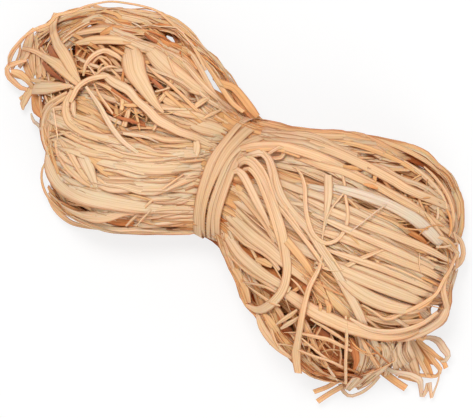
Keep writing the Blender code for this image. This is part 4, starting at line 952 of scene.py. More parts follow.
     (0.42, [(-56, 45.5, 1, 1.2), (-49, 45, 3, 2.4), (-41.5, 43, 3, 2.6), (-33.5, 40, 3, 2.4),
        (-25.5, 36, 1, 1.4)]),
     (0.24, [(-36, 36, 2, 1.2), (-29, 33.5, 4, 2.2), (-20.5, 33, 4, 2.6), (-12.5, 34, 3, 2.6),
        (-4.5, 34.5, 0, 2)])],
    "edge_curl": [(0.02, [(-112.5, -18.5, 0, 1), (-109.5, -21.5, 0, 2), (-104.5, -22.5, 0, 2),
        (-99.5, -25.5, 0, 1)])],
    "bare_white_fibre": [(0.1, [(-84.5, 51.5, 3, 0.6), (-81, 51.5, 4, 1), (-78, 51, 3, 0.6)])],
    "dark_slit_fibre": [(0.3, [(-54.5, 23.5, 3, 0.8), (-51.5, 26, 4, 1), (-48.5, 29, 4, 0.8)])],
    "bright_edge_fibre": [(0.14, [(-59, -4.5, 4, 1.4), (-53.5, -2.5, 4, 2), (-47, -0.5, 3, 1.4),
        (-40, 0, 1, 0.8)])],
    "small_chip": [(0.3, [(-46, 9.5, 3, 1), (-45.5, 7, 3, 1.8), (-45.5, 4.5, 2, 1)])],
    "tie_side_strip": [(0.14, [(-39.5, -10.5, 1, 2), (-32.5, -5, 3, 3.4), (-25, 1, 3, 3.2),
        (-17.5, 5.5, 2, 3), (-12, 9.5, 0, 3)])],
    "waist_orange": [(0.7, [(-20, 9, 0, 2), (-16.5, 9.5, 1, 4), (-14, 12, 0, 3)])],
    "lower_yellow_leaf": [(0.5, [(-71.5, -24.5, 2, 2), (-65.5, -24, 3, 6), (-58.5, -25.5, 3, 8),
        (-51, -26, 2, 6), (-44, -27.5, 0, 2)])],
    "thin_over_lower": [(0.24, [(-30, -46, 4, 0.6), (-28.5, -40.5, 5, 1.2), (-26.5, -33.5, 4, 0.6)])],
    "thin_upper_lower": [(0.3, [(-26.5, -21.5, 4, 0.6), (-23.5, -15.5, 5, 1.2), (-20, -8.5, 4, 0.6)])],
    "right_top_wide": [(0.2, [(7.5, 30, 2, 4), (15, 32.5, 4, 6), (24.5, 35.5, 4, 7), (35, 38.5, 4, 6.4),
        (45.5, 39, 3, 4), (54.5, 38.5, 1, 2)])],
    "rim_low_strip": [(0.55, [(100.5, 61, -1, 2), (107.5, 61, -2, 4.4), (114, 59, -2, 4.4),
        (120, 54.5, -1, 2)])],
    # Painted shade: dark red-brown strips laid low in the slits between strands, and a few on top of
    # the clutter, where there is only shade.
    "slit_floor": [(0.78, [(-54.5, 24, -3, 3), (-47.5, 25, -4, 8), (-39, 25, -4, 8),
        (-32, 25.5, -3, 3)]),
     (0.97, [(-39, 31.5, -3, 1.4), (-34.5, 30.5, -3, 3), (-30, 29, -3, 1.4)]),
     (0.93, [(25.5, -29.5, -2, 1.6), (30.5, -29.5, -3, 4), (35.5, -29.5, -3, 4), (40.5, -29.5, -2, 2)]),
     (0.92, [(38.5, -32, -2, 2), (44, -33.5, -3, 6), (49.5, -34, -3, 6), (55.5, -35.5, -2, 2)]),
     (0.93, [(52, -29.5, -3, 2), (58, -31.5, -4, 7), (64.5, -32.5, -4, 7), (72, -33.5, -3, 2)]),
     (0.98, [(78, 56.5, -2, 2), (85.5, 57.5, -3, 4), (93.5, 58, -3, 4), (100.5, 56.5, -3, 3),
        (108, 53, -3, 2)]),
     (0.98, [(81, 37, -3, 2), (88.5, 37, -4, 6), (97, 36.5, -4, 6), (106, 37, -4, 3)]),
     (0.97, [(59, 45.5, -4, 2), (64, 46, -4, 4), (70, 47.5, -4, 2.6), (73.5, 47.5, -3, 1.4)]),
     (0.96, [(54, 37, -4, 2), (58.5, 37.5, -4, 4.4), (64.5, 38, -4, 3), (71, 37.5, -3, 3),
        (78, 38, -3, 3), (84, 39, -3, 1.4)]),
     (0.96, [(117, 19.5, -4, 2), (123, 18, -5, 4.6), (129, 16, -4, 2)]),
     (0.95, [(115.5, 41.5, -3, 1.4), (120, 38.5, -4, 3.4), (124.5, 34, -3, 2)]),
     (0.94, [(97, 25.5, -4, 2), (104, 24.5, -5, 4.6), (111, 23, -5, 4.6), (118, 22.5, -4, 2)]),
     (0.9, [(50.5, 46.5, -3, 1.4), (56, 47.5, -3, 2.6), (63, 48.5, -3, 1.4)]),
     (0.94, [(-125, 25, -4, 2), (-126.5, 20.5, -5, 4), (-128, 16, -4, 2)]),
     (0.96, [(-123.5, 20, -4, 2), (-116.5, 17, -5, 6), (-110, 14, -4, 3)]),
     (0.96, [(-123.5, 12, -3, 2), (-115.5, 8.5, -5, 5), (-107.5, 5.5, -4, 4), (-100.5, 5.5, -3, 2)]),
     (0.95, [(-106, 28, -7, 4), (-100.5, 24, -9, 10), (-95, 19, -9, 9), (-90.5, 15, -6, 4)]),
     (0.97, [(-95.5, 31, -6, 3), (-94, 24.5, -8, 7), (-92, 18, -7, 5)]),
     (0.94, [(-92, 25.5, -4, 3), (-87, 26.5, -5, 6), (-80.5, 26.5, -5, 5), (-76, 25, -4, 2)]),
     (0.97, [(-65, 30, -3, 1.6), (-59.5, 28.5, -4, 3.4), (-52, 26.5, -4, 2.4), (-46.5, 25, -3, 1.2)]),
     (0.96, [(-76, 4.5, -3, 2), (-68.5, 4, -4, 5), (-60, 4.5, -5, 5), (-50.5, 5, -4, 2.4)]),
     (0.9, [(-48.5, -51, -2, 2), (-41, -49, -3, 4), (-34, -46, -3, 4), (-27, -43, -2, 2)]),
     (0.62, [(-81.5, -50.5, -1, 2), (-74, -53, -2, 6), (-65.5, -53.5, -2, 5.6), (-56.5, -52.5, -2, 2)]),
     (0.99, [(-124.5, 24, 0, 0.8), (-125, 20.5, 4, 2.2), (-125.5, 17, 4, 2.2), (-126.5, 13, 0, 0.8)]),
     (0.99, [(-123.5, 21, 0, 1), (-118.5, 18, 5, 3.2), (-114, 15.5, 5, 3.4), (-109, 14, 1, 1.4)]),
     (0.99, [(-123, 11.5, 0, 0.8), (-117, 9, 4.5, 2.2), (-111.5, 7, 4.5, 3), (-106.5, 6, 4, 2.2),
        (-100.5, 5.5, 1, 0.8)]),
     (0.98, [(-64, 29.5, 0, 0.8), (-58.5, 28.5, 4.5, 2), (-52.5, 27, 4.5, 2), (-48, 25.5, 1, 0.8)]),
     (0.97, [(-122.5, 34.5, 0, 0.8), (-119, 37.5, 3.5, 1.2), (-113.5, 42, 3.5, 1.4),
        (-107, 46, 0, 0.8)]),
     (0.98, [(-93, 42, 0, 0.6), (-87.5, 44.5, 3.5, 1), (-81.5, 46.5, 3.5, 1), (-76, 48, 0, 0.6)]),
     (0.98, [(-77, 50, 0, 0.8), (-72.5, 48.5, 4, 2), (-68, 48, 4, 1.6), (-62.5, 47.5, 0, 0.8)]),
     (0.94, [(-78.5, 50.5, 0, 0.6), (-73, 51.5, 3, 1), (-66, 52.5, 3, 1), (-58.5, 52, 0, 0.6)]),
     (0.95, [(-83.5, 14.5, 1, 0.8), (-75.5, 13.5, 4, 1.4), (-66.5, 12.5, 4, 1.4), (-57.5, 12, 1, 0.8)]),
     (0.97, [(-73, 2, 1, 0.8), (-65.5, 2, 4, 1.6), (-58, 3.5, 4, 1.8), (-50, 4.5, 1, 0.8)])],
    "right_top_edge": [(0.36, [(14, 36.5, 1, 1.5), (25.5, 41, 3, 3), (40.5, 47, 3, 3.4),
        (55, 54.5, 3, 3.4), (70.5, 59, 3, 3.2), (84.5, 60.5, 2.5, 3), (96.5, 60, 2, 2.6),
        (105, 58, 0, 1.6)]),
     (0.5, [(41.5, 45, 1, 1.4), (55, 49.5, 3, 3), (71, 52, 3, 3), (85.5, 52.5, 2, 2.6),
        (98, 51, 0, 1.4)]),
     (0.27, [(82.5, 54.5, 1, 1.2), (92, 53, 3, 2.8), (102, 50.5, 3, 3.4), (111.5, 46, 3, 3.2),
        (118, 40, 1, 1.8)])],
    "right_dark_strip": [(0.8, [(53.5, 38, -1, 1.4), (62, 40, 0, 2.4), (73.5, 42.5, 0, 2.4),
        (85.5, 42.5, 0, 2.2), (96, 42, -1, 1.2)])],
    "orange_between": [(0.7, [(52.5, 35, 3, 1), (58.5, 37, 5, 2.4), (64, 38.5, 3, 1)])],
    "inner_rim_strand": [(0.34, [(94, 57, 3, 1), (101, 55, 5, 1.8), (110, 51, 5, 2), (117, 46, 5, 2),
        (122, 40, 4, 2), (124, 32.5, 2, 1.6)])],
    "rim_orange_strand": [(0.66, [(115.5, 42.5, 2, 1), (119.5, 39.5, 4, 1.6), (122.5, 35, 4, 1.6),
        (124, 29.5, 2, 1)])],
    "white_cross_fibre": [(0.06, [(73.5, 6, 4, 0.5), (77.5, 14.5, 6, 0.8), (81.5, 23.5, 6, 0.8),
        (84.5, 28.5, 4, 0.5)])],
    "end_node": [(0.2, [(119.5, 21, 3, 1), (124.5, 23.5, 5, 1.4), (129, 27.5, 4, 1.4),
        (132.5, 29.5, 2, 1)]),
     (0.3, [(116.5, 26, 3, 1.2), (123, 27, 5, 2.6), (129.5, 25.5, 5, 3), (135, 21.5, 4, 2.6),
        (136.5, 16.5, 2, 1.6)]),
     (0.34, [(133.5, 15, 4, 1.2), (133, 8.5, 5, 2.4), (134, 3, 5, 3.4), (138, -1.5, 5, 3.8),
        (142.5, -6, 4, 3.8), (144.5, -12, 3, 3.4), (141, -18.5, 3, 2.6)])],
    "end_loop_inner": [(0.5, [(132.5, 2, 5, 1.2), (131.5, -3, 5, 2), (130, -8, 5, 2),
        (126.5, -13.5, 5, 1.6)])],
    "dark_under_strip": [(0.86, [(89.5, 20.5, -1, 1.4), (99, 21, 0, 3), (108, 21, 0, 3),
        (116.5, 19.5, -1, 1.4)])],
    "yellow_under_strip": [(0.6, [(81.5, -2, 0, 2), (90.5, 0, 1, 4), (101.5, 2.5, 1, 4),
        (111.5, 2.5, 0, 2)])],
    "panel_orange_line": [(0.7, [(9, -14.5, 0, 1), (16.5, -17, 1, 2.4), (23, -19.5, 1, 2.2),
        (28.5, -21, 0, 1)])],
    "panel_pale": [(0.3, [(11.5, -21.5, 1, 1.4), (20, -23.5, 4, 3.4), (27.5, -25.5, 4, 3.6),
        (35.5, -25.5, 4, 3.4), (44, -27, 4, 2.8), (50, -30, 2, 1.4)]),
     (0.33, [(14, -28.5, 1, 1.4), (21.5, -34.5, 3, 3.6), (29.5, -37, 3, 3.8), (36.5, -38.5, 3, 3.6),
        (45, -39, 3, 3.4), (54, -40, 2, 2)])],
    "panel_yellow": [(0.5, [(36, -31, 2, 2), (40.5, -30, 3, 4), (45.5, -30, 2, 2.4)])],
    "panel_edge": [(0.42, [(15, -30.5, 0, 2), (22, -37, 2, 4), (32, -43, 2, 4.6), (39, -48, 2, 4),
        (44.5, -54, 1, 2.4)]),
     (0.5, [(13, -29, 0, 1.4), (20.5, -36.5, 1, 3), (30, -43, 1, 3.4), (38.5, -50, 1, 3),
        (43.5, -55, 0, 2)])],
    "panel_thin": [(0.3, [(36, -45.5, 2, 0.8), (42.5, -43, 4, 1.4), (49, -41.5, 4, 1.4),
        (55, -41.5, 2, 0.8)]),
     (0.33, [(39.5, -46, 2, 0.8), (47, -47, 4, 1.8), (55, -47.5, 4, 1.8), (59.5, -47, 2, 0.8)])],
    "low_fan": [(0.3, [(51, -57, 1, 2), (56.5, -62, 2, 4.4), (64, -66, 2, 5), (72.5, -69, 2, 4),
        (80.5, -70, 1, 2)]),
     (0.36, [(54.5, -57, 2, 1.4), (61, -60.5, 3, 2), (66.5, -65.5, 3, 1.6), (71, -68.5, 2, 1)]),
     (0.34, [(62.5, -57.5, 2, 0.8), (64.5, -53, 3, 2.4), (66.5, -49, 3, 2.6), (68.5, -44.5, 3, 1.4)]),
     (0.28, [(66, -58, 2, 1.4), (68, -53.5, 3, 2.8), (70, -50, 3, 2.2), (71, -47.5, 2, 1)]),
     (0.42, [(55, -47.5, -2, 1.6), (59.5, -49.5, -1, 3), (64.5, -52.5, -1, 3), (68.5, -56, -2, 1.6)]),
     (0.5, [(54.5, -55, 1, 2), (59.5, -57.5, 1, 4.6), (64.5, -60, 0, 4), (69, -63, -1, 2)])],
    "cavity_thin": [(0.3, [(78, -57, 2, 0.8), (84, -58.5, 3, 1.3), (91, -60, 3, 1.3),
        (100, -61, 3, 1.3), (106.5, -61.5, 2, 0.8)]),
     (0.2, [(98.5, -64.5, 2, 1), (103, -67, 3, 1.8), (108, -69.5, 2, 0.8)])],
    "cavity_wide": [(0.34, [(73.5, -47, -1, 2), (78, -51, 0, 4), (83, -54.5, -1, 3.4),
        (88, -57.5, -3, 1.6)]),
     (0.42, [(86.5, -62, -4, 1.6), (93, -65, -4, 3), (100.5, -68, -5, 3), (108.5, -69, -6, 1.6)])],
    "tip_fill": [(0.4, [(-132.5, 8, 0, 1.4), (-128.5, 3.5, 1, 2.6), (-123, -0.5, 1, 2.4),
        (-117.5, -2, 1, 1.4)])],
    "wide_low": [(0.33, [(102, -30.5, 0, 1.6), (113.5, -28, 1, 3.4), (123.5, -23.5, 1, 3.4),
        (133, -17.5, 1, 2)]),
     (0.42, [(99, -27.5, -1, 1.6), (108.5, -26, 0, 3.6), (119.5, -23, 0, 3.6),
        (129.5, -15.5, 0, 1.8)])],
    "rim_bulge": [(0.3, [(127, 32.5, 2, 1.6), (132, 31.5, 3, 3.2), (135.5, 28.5, 3, 3.8),
        (137.5, 25.5, 3, 3.8), (138, 20.5, 3, 3.4), (136, 15.5, 2, 2)])],
    "tail_shade_strip": [(0.85, [(12, 6, 1, 1.6), (17.5, 1.5, 2, 3.6), (23, -3, 2, 3),
        (27.5, -6.5, 1, 1.2)])],
    "corner_leaf": [(0.2, [(125, -34, 2, 2.4), (130, -29.5, 4, 4), (135.5, -23.5, 4, 5),
        (140, -17.5, 4, 5.2), (142.5, -12, 4, 5), (142, -6, 4, 4.4), (139, -1, 3, 2.6)], 0.05)],
    "slit_crossing": [(0.34, [(43, -28, 2, 0.5), (48, -30.5, 3, 1), (53.5, -34, 2, 0.6)])],
    # Painted shade: dark strips laid on the floor of the cavity.
    "cavity_floor": [(0.96, [(82.5, -48.5, -6, 3), (89, -51.5, -8, 8), (96, -54.5, -9, 8),
        (102, -57, -8, 4)]),
     (0.95, [(89, -55.5, -7, 3), (97, -58.5, -8, 7), (104.5, -60, -8, 6), (111, -61, -6, 3)]),
     (0.93, [(79, -60.5, -6, 3), (85, -63, -7, 6), (92, -65.5, -8, 6), (98.5, -67.5, -7, 3)]),
     (0.94, [(102, -44.5, -3, 2), (107, -49.5, -3, 4), (111.5, -55, -3, 3), (112.5, -59.5, -3, 1.6)]),
     (0.97, [(65.5, -56, -4, 2), (69.5, -57.5, -5, 6), (73.5, -60, -5, 4)])],
    "cavity_pale": [(0.36, [(91, -47.5, -5, 0.8), (95, -51, -4, 1.2), (97.5, -56, -5, 0.8)]),
     (0.42, [(92, -59, -6, 0.8), (95, -55.5, -4, 1), (100, -53.5, -5, 0.8)]),
     (0.4, [(99, -51.5, -4, 0.8), (102.5, -56.5, -3, 1.3), (104.5, -62.5, -4, 0.8)]),
     (0.45, [(85.5, -52, -4, 0.8), (92.5, -54, -5, 1), (100.5, -56.5, -5, 0.8)])],
    "fan_fill": [(0.24, [(126.5, -39.5, -1, 2), (129.5, -43.5, -1, 3.4), (133.5, -47.5, -1.5, 3.4),
        (137.5, -50.5, -2, 2)])],
    "hole_crossing": [(0.33, [(55.5, -30.5, 1, 0.6), (61.5, -32, 3, 1.2), (69.5, -36, 1, 0.8)])],
    "long_diagonal": [(0.3, [(26.5, 3, 4, 1), (38, -2, 6, 2.2), (50.5, -7.5, 6, 2.4),
        (61.5, -12.5, 6, 2.2), (70, -17, 4, 1)])],
    "small_flake": [(0.62, [(79, -32.5, 1, 1), (82.5, -34.5, 3, 3), (84, -38, 3, 2.4)]),
     (0.58, [(77, -35, 1, 1), (79, -37.5, 3, 2), (79.5, -40.5, 2, 1.2)])],
    "wide_low_strip": [(0.25, [(76, -16.5, 2, 3), (87, -19.5, 4, 6), (97, -20.5, 4, 8),
        (106.5, -20, 4, 8), (117, -18, 4, 6.4), (124, -15.5, 3, 5), (131, -11, 1, 2)])],
    "low_thin_kink": [(0.33, [(98, -25.5, 2, 0.8), (105.5, -26, 4, 1.4), (113.5, -26.5, 4, 1.6),
        (120, -20, 4, 1.4), (125, -12.5, 2, 0.8)])],
    "band_edge_strip": [(0.24, [(95.5, -35, 4, 1.4), (106, -35.5, 6, 2.8), (116.5, -32.5, 6, 3),
        (126, -26.5, 6, 2.8), (133.5, -18.5, 5, 2.6), (138, -10, 4, 2)])],
}
# For each CAD node its strips that lead their own way: tint, the line of the strip as rows
# of x, y, z and width, and its curl.
LOOSE = {
    "tail_long": [(0.2, [(2.5, 13.5, 50, 2), (8, 18.5, 56, 3.4), (12, 21.5, 57, 4.2),
        (16, 20.5, 58, 4.4), (20.5, 16.5, 59, 5), (25.5, 11, 60, 5.4), (31.5, 5.5, 62, 5.6),
        (41, 0.5, 64, 5.4), (52.5, -3, 66, 4.6), (63.5, -9.5, 66, 4), (75, -15.5, 65, 4.4),
        (89, -24, 62, 5), (100, -31.5, 57, 5), (108.5, -38.5, 50, 3.4)], 0.05),
     (0.3, [(11.5, 23, 57, 1), (16.5, 20.5, 59, 1.6), (21.5, 16, 60, 1.6), (26, 10, 61, 1.6),
        (32, 4.5, 63, 1.4), (39, 1, 64, 1)]),
     (0.27, [(36, 1.5, 65, 1), (46, -4, 67, 2), (54.5, -9, 68, 2.2), (63.5, -14, 67, 2),
        (68.5, -16.5, 66, 1)]),
     (0.33, [(60, -5, 67, 1), (70.5, -10.5, 67, 2), (81, -16, 66, 2.2), (92, -23.5, 62, 2),
        (100, -29, 58, 1)])],
    "tail_curved": [(0.27, [(3.5, 9, 50, 3), (4.5, 13, 54, 4.6), (7.5, 14.5, 57, 5),
        (12.5, 13.5, 58, 5), (17, 11, 59, 5), (23, 7, 60, 4.8), (29.5, 0.5, 62, 4.8),
        (40, -9.5, 65, 4.8), (48.5, -20, 64, 4.8), (54, -29, 60, 4.8), (56.5, -39, 54, 5),
        (55, -47.5, 45, 5.2), (50.5, -55, 35, 5), (43.5, -56, 28, 2.4)], 0.05),
     (0.33, [(6.5, 7, 52, 1.4), (9, 10.5, 57, 2.2), (14.5, 9, 59, 2.4), (20.5, 4.5, 60, 2.4),
        (28.5, -2.5, 63, 2.4), (37, -11, 65, 2.2), (44, -18.5, 64, 1.6), (49, -25.5, 61, 1)]),
     (0.24, [(3, 5, 52, 2.4), (5, 7, 55, 4), (8.5, 6, 57, 4.6), (14, 2.5, 58, 4.6), (21, -2.5, 60, 4.4),
        (27.5, -7, 61, 3.6), (35, -12.5, 60, 2)]),
     (0.3, [(3.5, 15, 54, 1), (8.5, 16.5, 58, 1.8), (14, 15, 60, 2), (20, 11.5, 61, 1.8),
        (26, 6, 62, 1.4), (33, 0, 63, 1)])],
    "tail_loop": [(0.27, [(32, 23, 58, 0.8), (36, 21, 62, 1.6), (40, 17, 65, 2.2), (46, 7, 67, 2.4),
        (51.5, 0, 68, 2.6), (58, -5, 68, 2.8), (65, -5.5, 68, 2.4), (69.5, -1, 68, 2.2),
        (70.5, 5.5, 67, 2.2), (68, 14, 67, 2), (63, 21, 66, 1.8), (58.5, 28, 64, 1.8),
        (55.5, 31.5, 60, 1)])],
    "tail_short": [(0.22, [(49, 27.5, 62, 4.2), (52, 22, 66, 4.8), (54.5, 17, 67, 4.6),
        (56.5, 12, 67, 3.4), (58.5, 6.5, 67, 2), (60.5, 0, 66, 1.1), (62.5, -5, 65, 0.8)]),
     (0.27, [(61, 23.5, 65, 0.8), (60, 18.5, 66, 1.2), (59, 13.5, 67, 1.2), (59, 8.5, 67, 1),
        (60.5, 2.5, 66, 0.7)])],
    "tail_cross": [(0.3, [(94.5, 6.5, 62, 1), (90.5, 2, 66, 2), (85, -4.5, 67, 2.6),
        (80.5, -11, 67, 2.6), (76.5, -15.5, 67, 2), (71.5, -17.5, 66, 1.8), (65, -17, 65, 1.4)])],
    "tail_back": [(0.3, [(0.5, 18, 50, 3), (5.5, 22, 54, 4.6), (12, 26, 55, 4.8), (19, 29.5, 57, 5),
        (29.5, 32, 59, 5.2), (42, 34, 60, 5.2), (56.5, 34.5, 60, 5), (77.5, 34.5, 56, 5),
        (90, 34.5, 53, 5), (100.5, 33.5, 50, 5.2), (110, 31, 46, 5), (118, 27.5, 42, 4.6),
        (125.5, 25, 37, 3.6), (131.5, 24, 32, 1.8)], 0.05),
     (0.5, [(4, 18.5, 54, 1.4), (11, 23, 57, 2), (21, 27.5, 58, 1.8), (31, 29, 59, 1.2)])],
    "strand_outer_arc": [(0.36, [(-135.5, -2, 14, 1.4), (-137.5, 3, 20, 1.8), (-137.5, 5.5, 22, 1.8),
        (-136.5, 10.5, 24, 2), (-134, 18.5, 26, 1.8), (-130, 25, 27, 2), (-125.5, 30, 28, 2.2),
        (-123.5, 36.5, 29, 2.2), (-120, 39.5, 29, 2), (-116.5, 42.5, 29, 1.6), (-112.5, 47.5, 30, 1.2),
        (-107.5, 52, 30, 1.1), (-101.5, 56.5, 30, 1.1), (-93, 60, 30, 1.2), (-83, 63, 31, 1.3),
        (-76, 64, 32, 1.6), (-68, 62.5, 33, 1.8), (-58, 59.5, 34, 2), (-49, 56, 35, 2),
        (-43, 52, 36, 1.8), (-36.5, 47.5, 38, 1.4)]),
     (0.45, [(-46.5, 55, 34, 1.2), (-41.5, 52.5, 34, 2), (-32, 47.5, 34, 2.6), (-24, 43, 35, 3),
        (-15, 38.5, 36, 3), (-7.5, 37, 38, 2.4)]),
     (0.8, [(-42.5, 54, 34, 0.5), (-37, 53, 35, 0.8), (-30.5, 51.5, 35, 0.8), (-26, 50.5, 35, 0.7),
        (-22.5, 48, 35, 0.5)]),
     (0.62, [(-31, 46, 33, 2), (-25.5, 45.5, 34, 4.6), (-19.5, 46.5, 34, 4.8), (-12, 44, 35, 5),
        (-5.5, 41, 36, 5), (0.5, 38.5, 35, 3.4)]),
     (0.66, [(-18.5, 44, 28, 2), (-12, 42, 29, 5), (-6.5, 39.5, 30, 6), (-2, 38, 30, 5.4),
        (3.5, 37.5, 30, 3)])],
    "strand_tip_curl": [(0.36, [(-128, 6.5, 18, 2), (-133, 2, 17, 3.4), (-136, -2, 16, 4),
        (-134, -5.5, 15, 4), (-129, -7.5, 13, 3.4), (-124, -8.5, 11, 2.6), (-119.5, -7, 10, 2)], 0.1),
     (0.42, [(-133, -3, 18, 2.6), (-128.5, -2, 17, 4.4), (-123, -3, 16, 4), (-118, -5.5, 14, 3)], 0.1),
     (0.35, [(-119.5, -3, 13, 3), (-119, -7.5, 12, 5.2), (-119.5, -12, 11, 6), (-119.5, -16, 9, 5),
        (-118, -19, 8, 1.2)], 0.1),
     (0.5, [(-122.5, -14.5, 8, 2), (-121, -12, 9, 2.6), (-118, -8.5, 11, 2.4)], 0.1)],
    "strand_small_edge": [(0.4, [(-92, -38, 16, 1.2), (-92.5, -42, 13, 1.3), (-91, -47, 11, 1.5),
        (-87, -52, 12, 1.8), (-82, -55.5, 13, 1.8), (-76, -57.5, 14, 1.7), (-69, -58.5, 15, 1.6),
        (-61.5, -58.5, 16, 1.4)]),
     (0.36, [(-82.5, -55.5, 10, 1.4), (-77.5, -58.5, 10, 3.2), (-71, -61, 10, 3.6),
        (-64.5, -62, 10, 3.2), (-57, -60.5, 11, 2.4), (-48, -57.5, 12, 1.4)]),
     (0.5, [(-83, -53, 13, 1.4), (-76, -56.5, 14, 3), (-68.5, -58.5, 14, 3.2), (-60.5, -58.5, 14, 2.6),
        (-51, -56.5, 14, 1.4)])],
    "strand_dangling": [(0.33, [(66.5, -12.5, 69, 1.2), (68, -20, 69.5, 2.2), (68, -28.5, 69.5, 2.8),
        (69.5, -36.5, 67.5, 3), (71.5, -44, 65, 3.4), (74.5, -52.5, 59, 3.6), (77.5, -60.5, 50, 4),
        (80, -66.5, 43, 5.4), (83, -71, 37, 4.8), (86.5, -75.5, 30, 4.4)], 0.04),
     (0.42, [(67.5, -15.5, 68, 0.8), (68, -25, 68, 1.2), (69.5, -34, 66, 1.2), (71.5, -42.5, 64, 1.2),
        (74.5, -51.5, 59, 1.1), (77, -59, 50, 0.8)])],
    "strand_cut_front": [(0.5, [(115, -66.5, 12, 3), (110.5, -69, 13, 3.2), (106, -75.5, 13, 3),
        (100.5, -82, 11, 3)]),
     (0.44, [(116, -67.5, 9, 3), (113, -72, 10, 3.4), (109, -78.5, 9, 3.2), (105, -86, 8, 3.2)])],
    "strand_cut_corner": [(0.58, [(128.5, -54, 9, 3.4), (133, -54.5, 9, 4.4), (139.5, -55.5, 8, 4.4),
        (145.5, -56, 7, 4.2)])],
    "strand_pale_loop": [(0.26, [(129.5, -32, 17, 3), (135.5, -36.5, 15, 4.6), (141.5, -41, 12, 5),
        (147.5, -46.5, 9, 3.6)]),
     (0.31, [(133, -29.5, 16, 3), (139, -33.5, 14, 4.4), (145.5, -38, 11, 4.8), (153, -43.5, 8, 3.6)]),
     (0.73, [(137.5, -30.5, 12, 1.4), (144, -35, 11, 2.4), (150.5, -39, 9, 2.6), (155.5, -43, 8, 1.6)]),
     (0.1, [(133.5, -27.5, 14, 2), (138.5, -27, 13, 2.2), (144, -24.5, 12, 3), (148.5, -24, 12, 4.4),
        (153.5, -26.5, 12, 4.8), (157.5, -29, 12, 4), (157.5, -31.5, 11, 3.4),
        (155.5, -33.5, 10, 2.4)], 0.04),
     (0.55, [(135, -27, 16, 2), (141, -30, 14, 3.2), (147.5, -31, 12, 3), (152, -32, 10, 2.4),
        (157, -33, 9, 2.8), (160, -35.5, 8, 3)]),
     (0.48, [(138.5, -29.5, 12, 2.4), (145.5, -32, 11, 3.4), (152.5, -35.5, 9, 3), (158, -38.5, 8, 2.8),
        (157.5, -41.5, 8, 2.4), (152, -44.5, 8, 2.6), (145.5, -47, 8, 1.6)]),
     (0.85, [(137.5, -29.5, 10, 2), (144.5, -33, 9, 4.6), (150.5, -35.5, 8, 5.4), (153, -36.5, 7, 2)])],
    "strand_end_loops": [(0.18, [(129, -34, 18, 1.6), (130.5, -40.5, 17, 2.6), (131, -48, 14, 2.8),
        (131.5, -55.5, 10, 1.6)]),
     (0.14, [(125.5, -36, 19, 1.4), (127, -42, 18, 2), (128, -49.5, 15, 2), (128, -57.5, 11, 1.2)]),
     (0.26, [(131.5, -33.5, 16, 1.4), (133, -40.5, 15, 2.2), (135.5, -47, 12, 2.2),
        (137.5, -52.5, 9, 1.4)]),
     (0.2, [(119.5, -40, 19, 1.4), (125.5, -41.5, 18, 2), (130.5, -47, 15, 2), (133, -54, 10, 1.2)]),
     (0.14, [(127, -37.5, 17, 1.2), (134, -41.5, 15, 2.6), (140.5, -45.5, 12, 2.8),
        (145.5, -47.5, 9, 1.6)]),
     (0.08, [(128, -50.5, 14, 2), (133, -51, 14, 3.6), (139, -49.5, 14, 4), (144.5, -48, 13, 4),
        (149, -48, 12, 4.2), (152.5, -51.5, 9, 3.4), (155.5, -56, 6, 2.2)]),
     (0.2, [(156.5, -56, 5, 2), (156, -51, 8, 3), (155, -47, 10, 3.2), (158, -50.5, 8, 2.4),
        (161, -54, 6, 2)]),
     (0.17, [(161, -54, 5, 1.6), (160.5, -50, 6, 1.2), (159, -43, 10, 1), (157, -38, 12, 0.8)]),
     (0.59, [(138.5, -52.5, 8, 1), (142.5, -50.5, 9, 3.4), (147.5, -49.5, 8, 2.6), (151, -49.5, 7, 1)]),
     (0.16, [(111.5, -71.5, 6, 1.6), (115, -74, 5, 2.2), (119.5, -75, 5, 2.2), (123.5, -71.5, 6, 2.2),
        (127.5, -64, 7, 2.2), (129, -57, 9, 2)]),
     (0.14, [(118.5, -69.5, 8, 1.4), (123.5, -65, 9, 2), (126.5, -58, 11, 2.2), (128, -48, 14, 2),
        (128, -39, 17, 1.6)])],
    "tie_knot": [(0.3, [(13.5, 19, 55, 1.4), (15.5, 23, 58, 1.8), (17.5, 26.5, 59, 2),
        (19.5, 29, 58, 2.2), (22, 28, 57, 2.2), (22.5, 24.5, 56, 2.2), (19, 22, 55, 2),
        (15, 20.5, 53, 1.2)])],
}
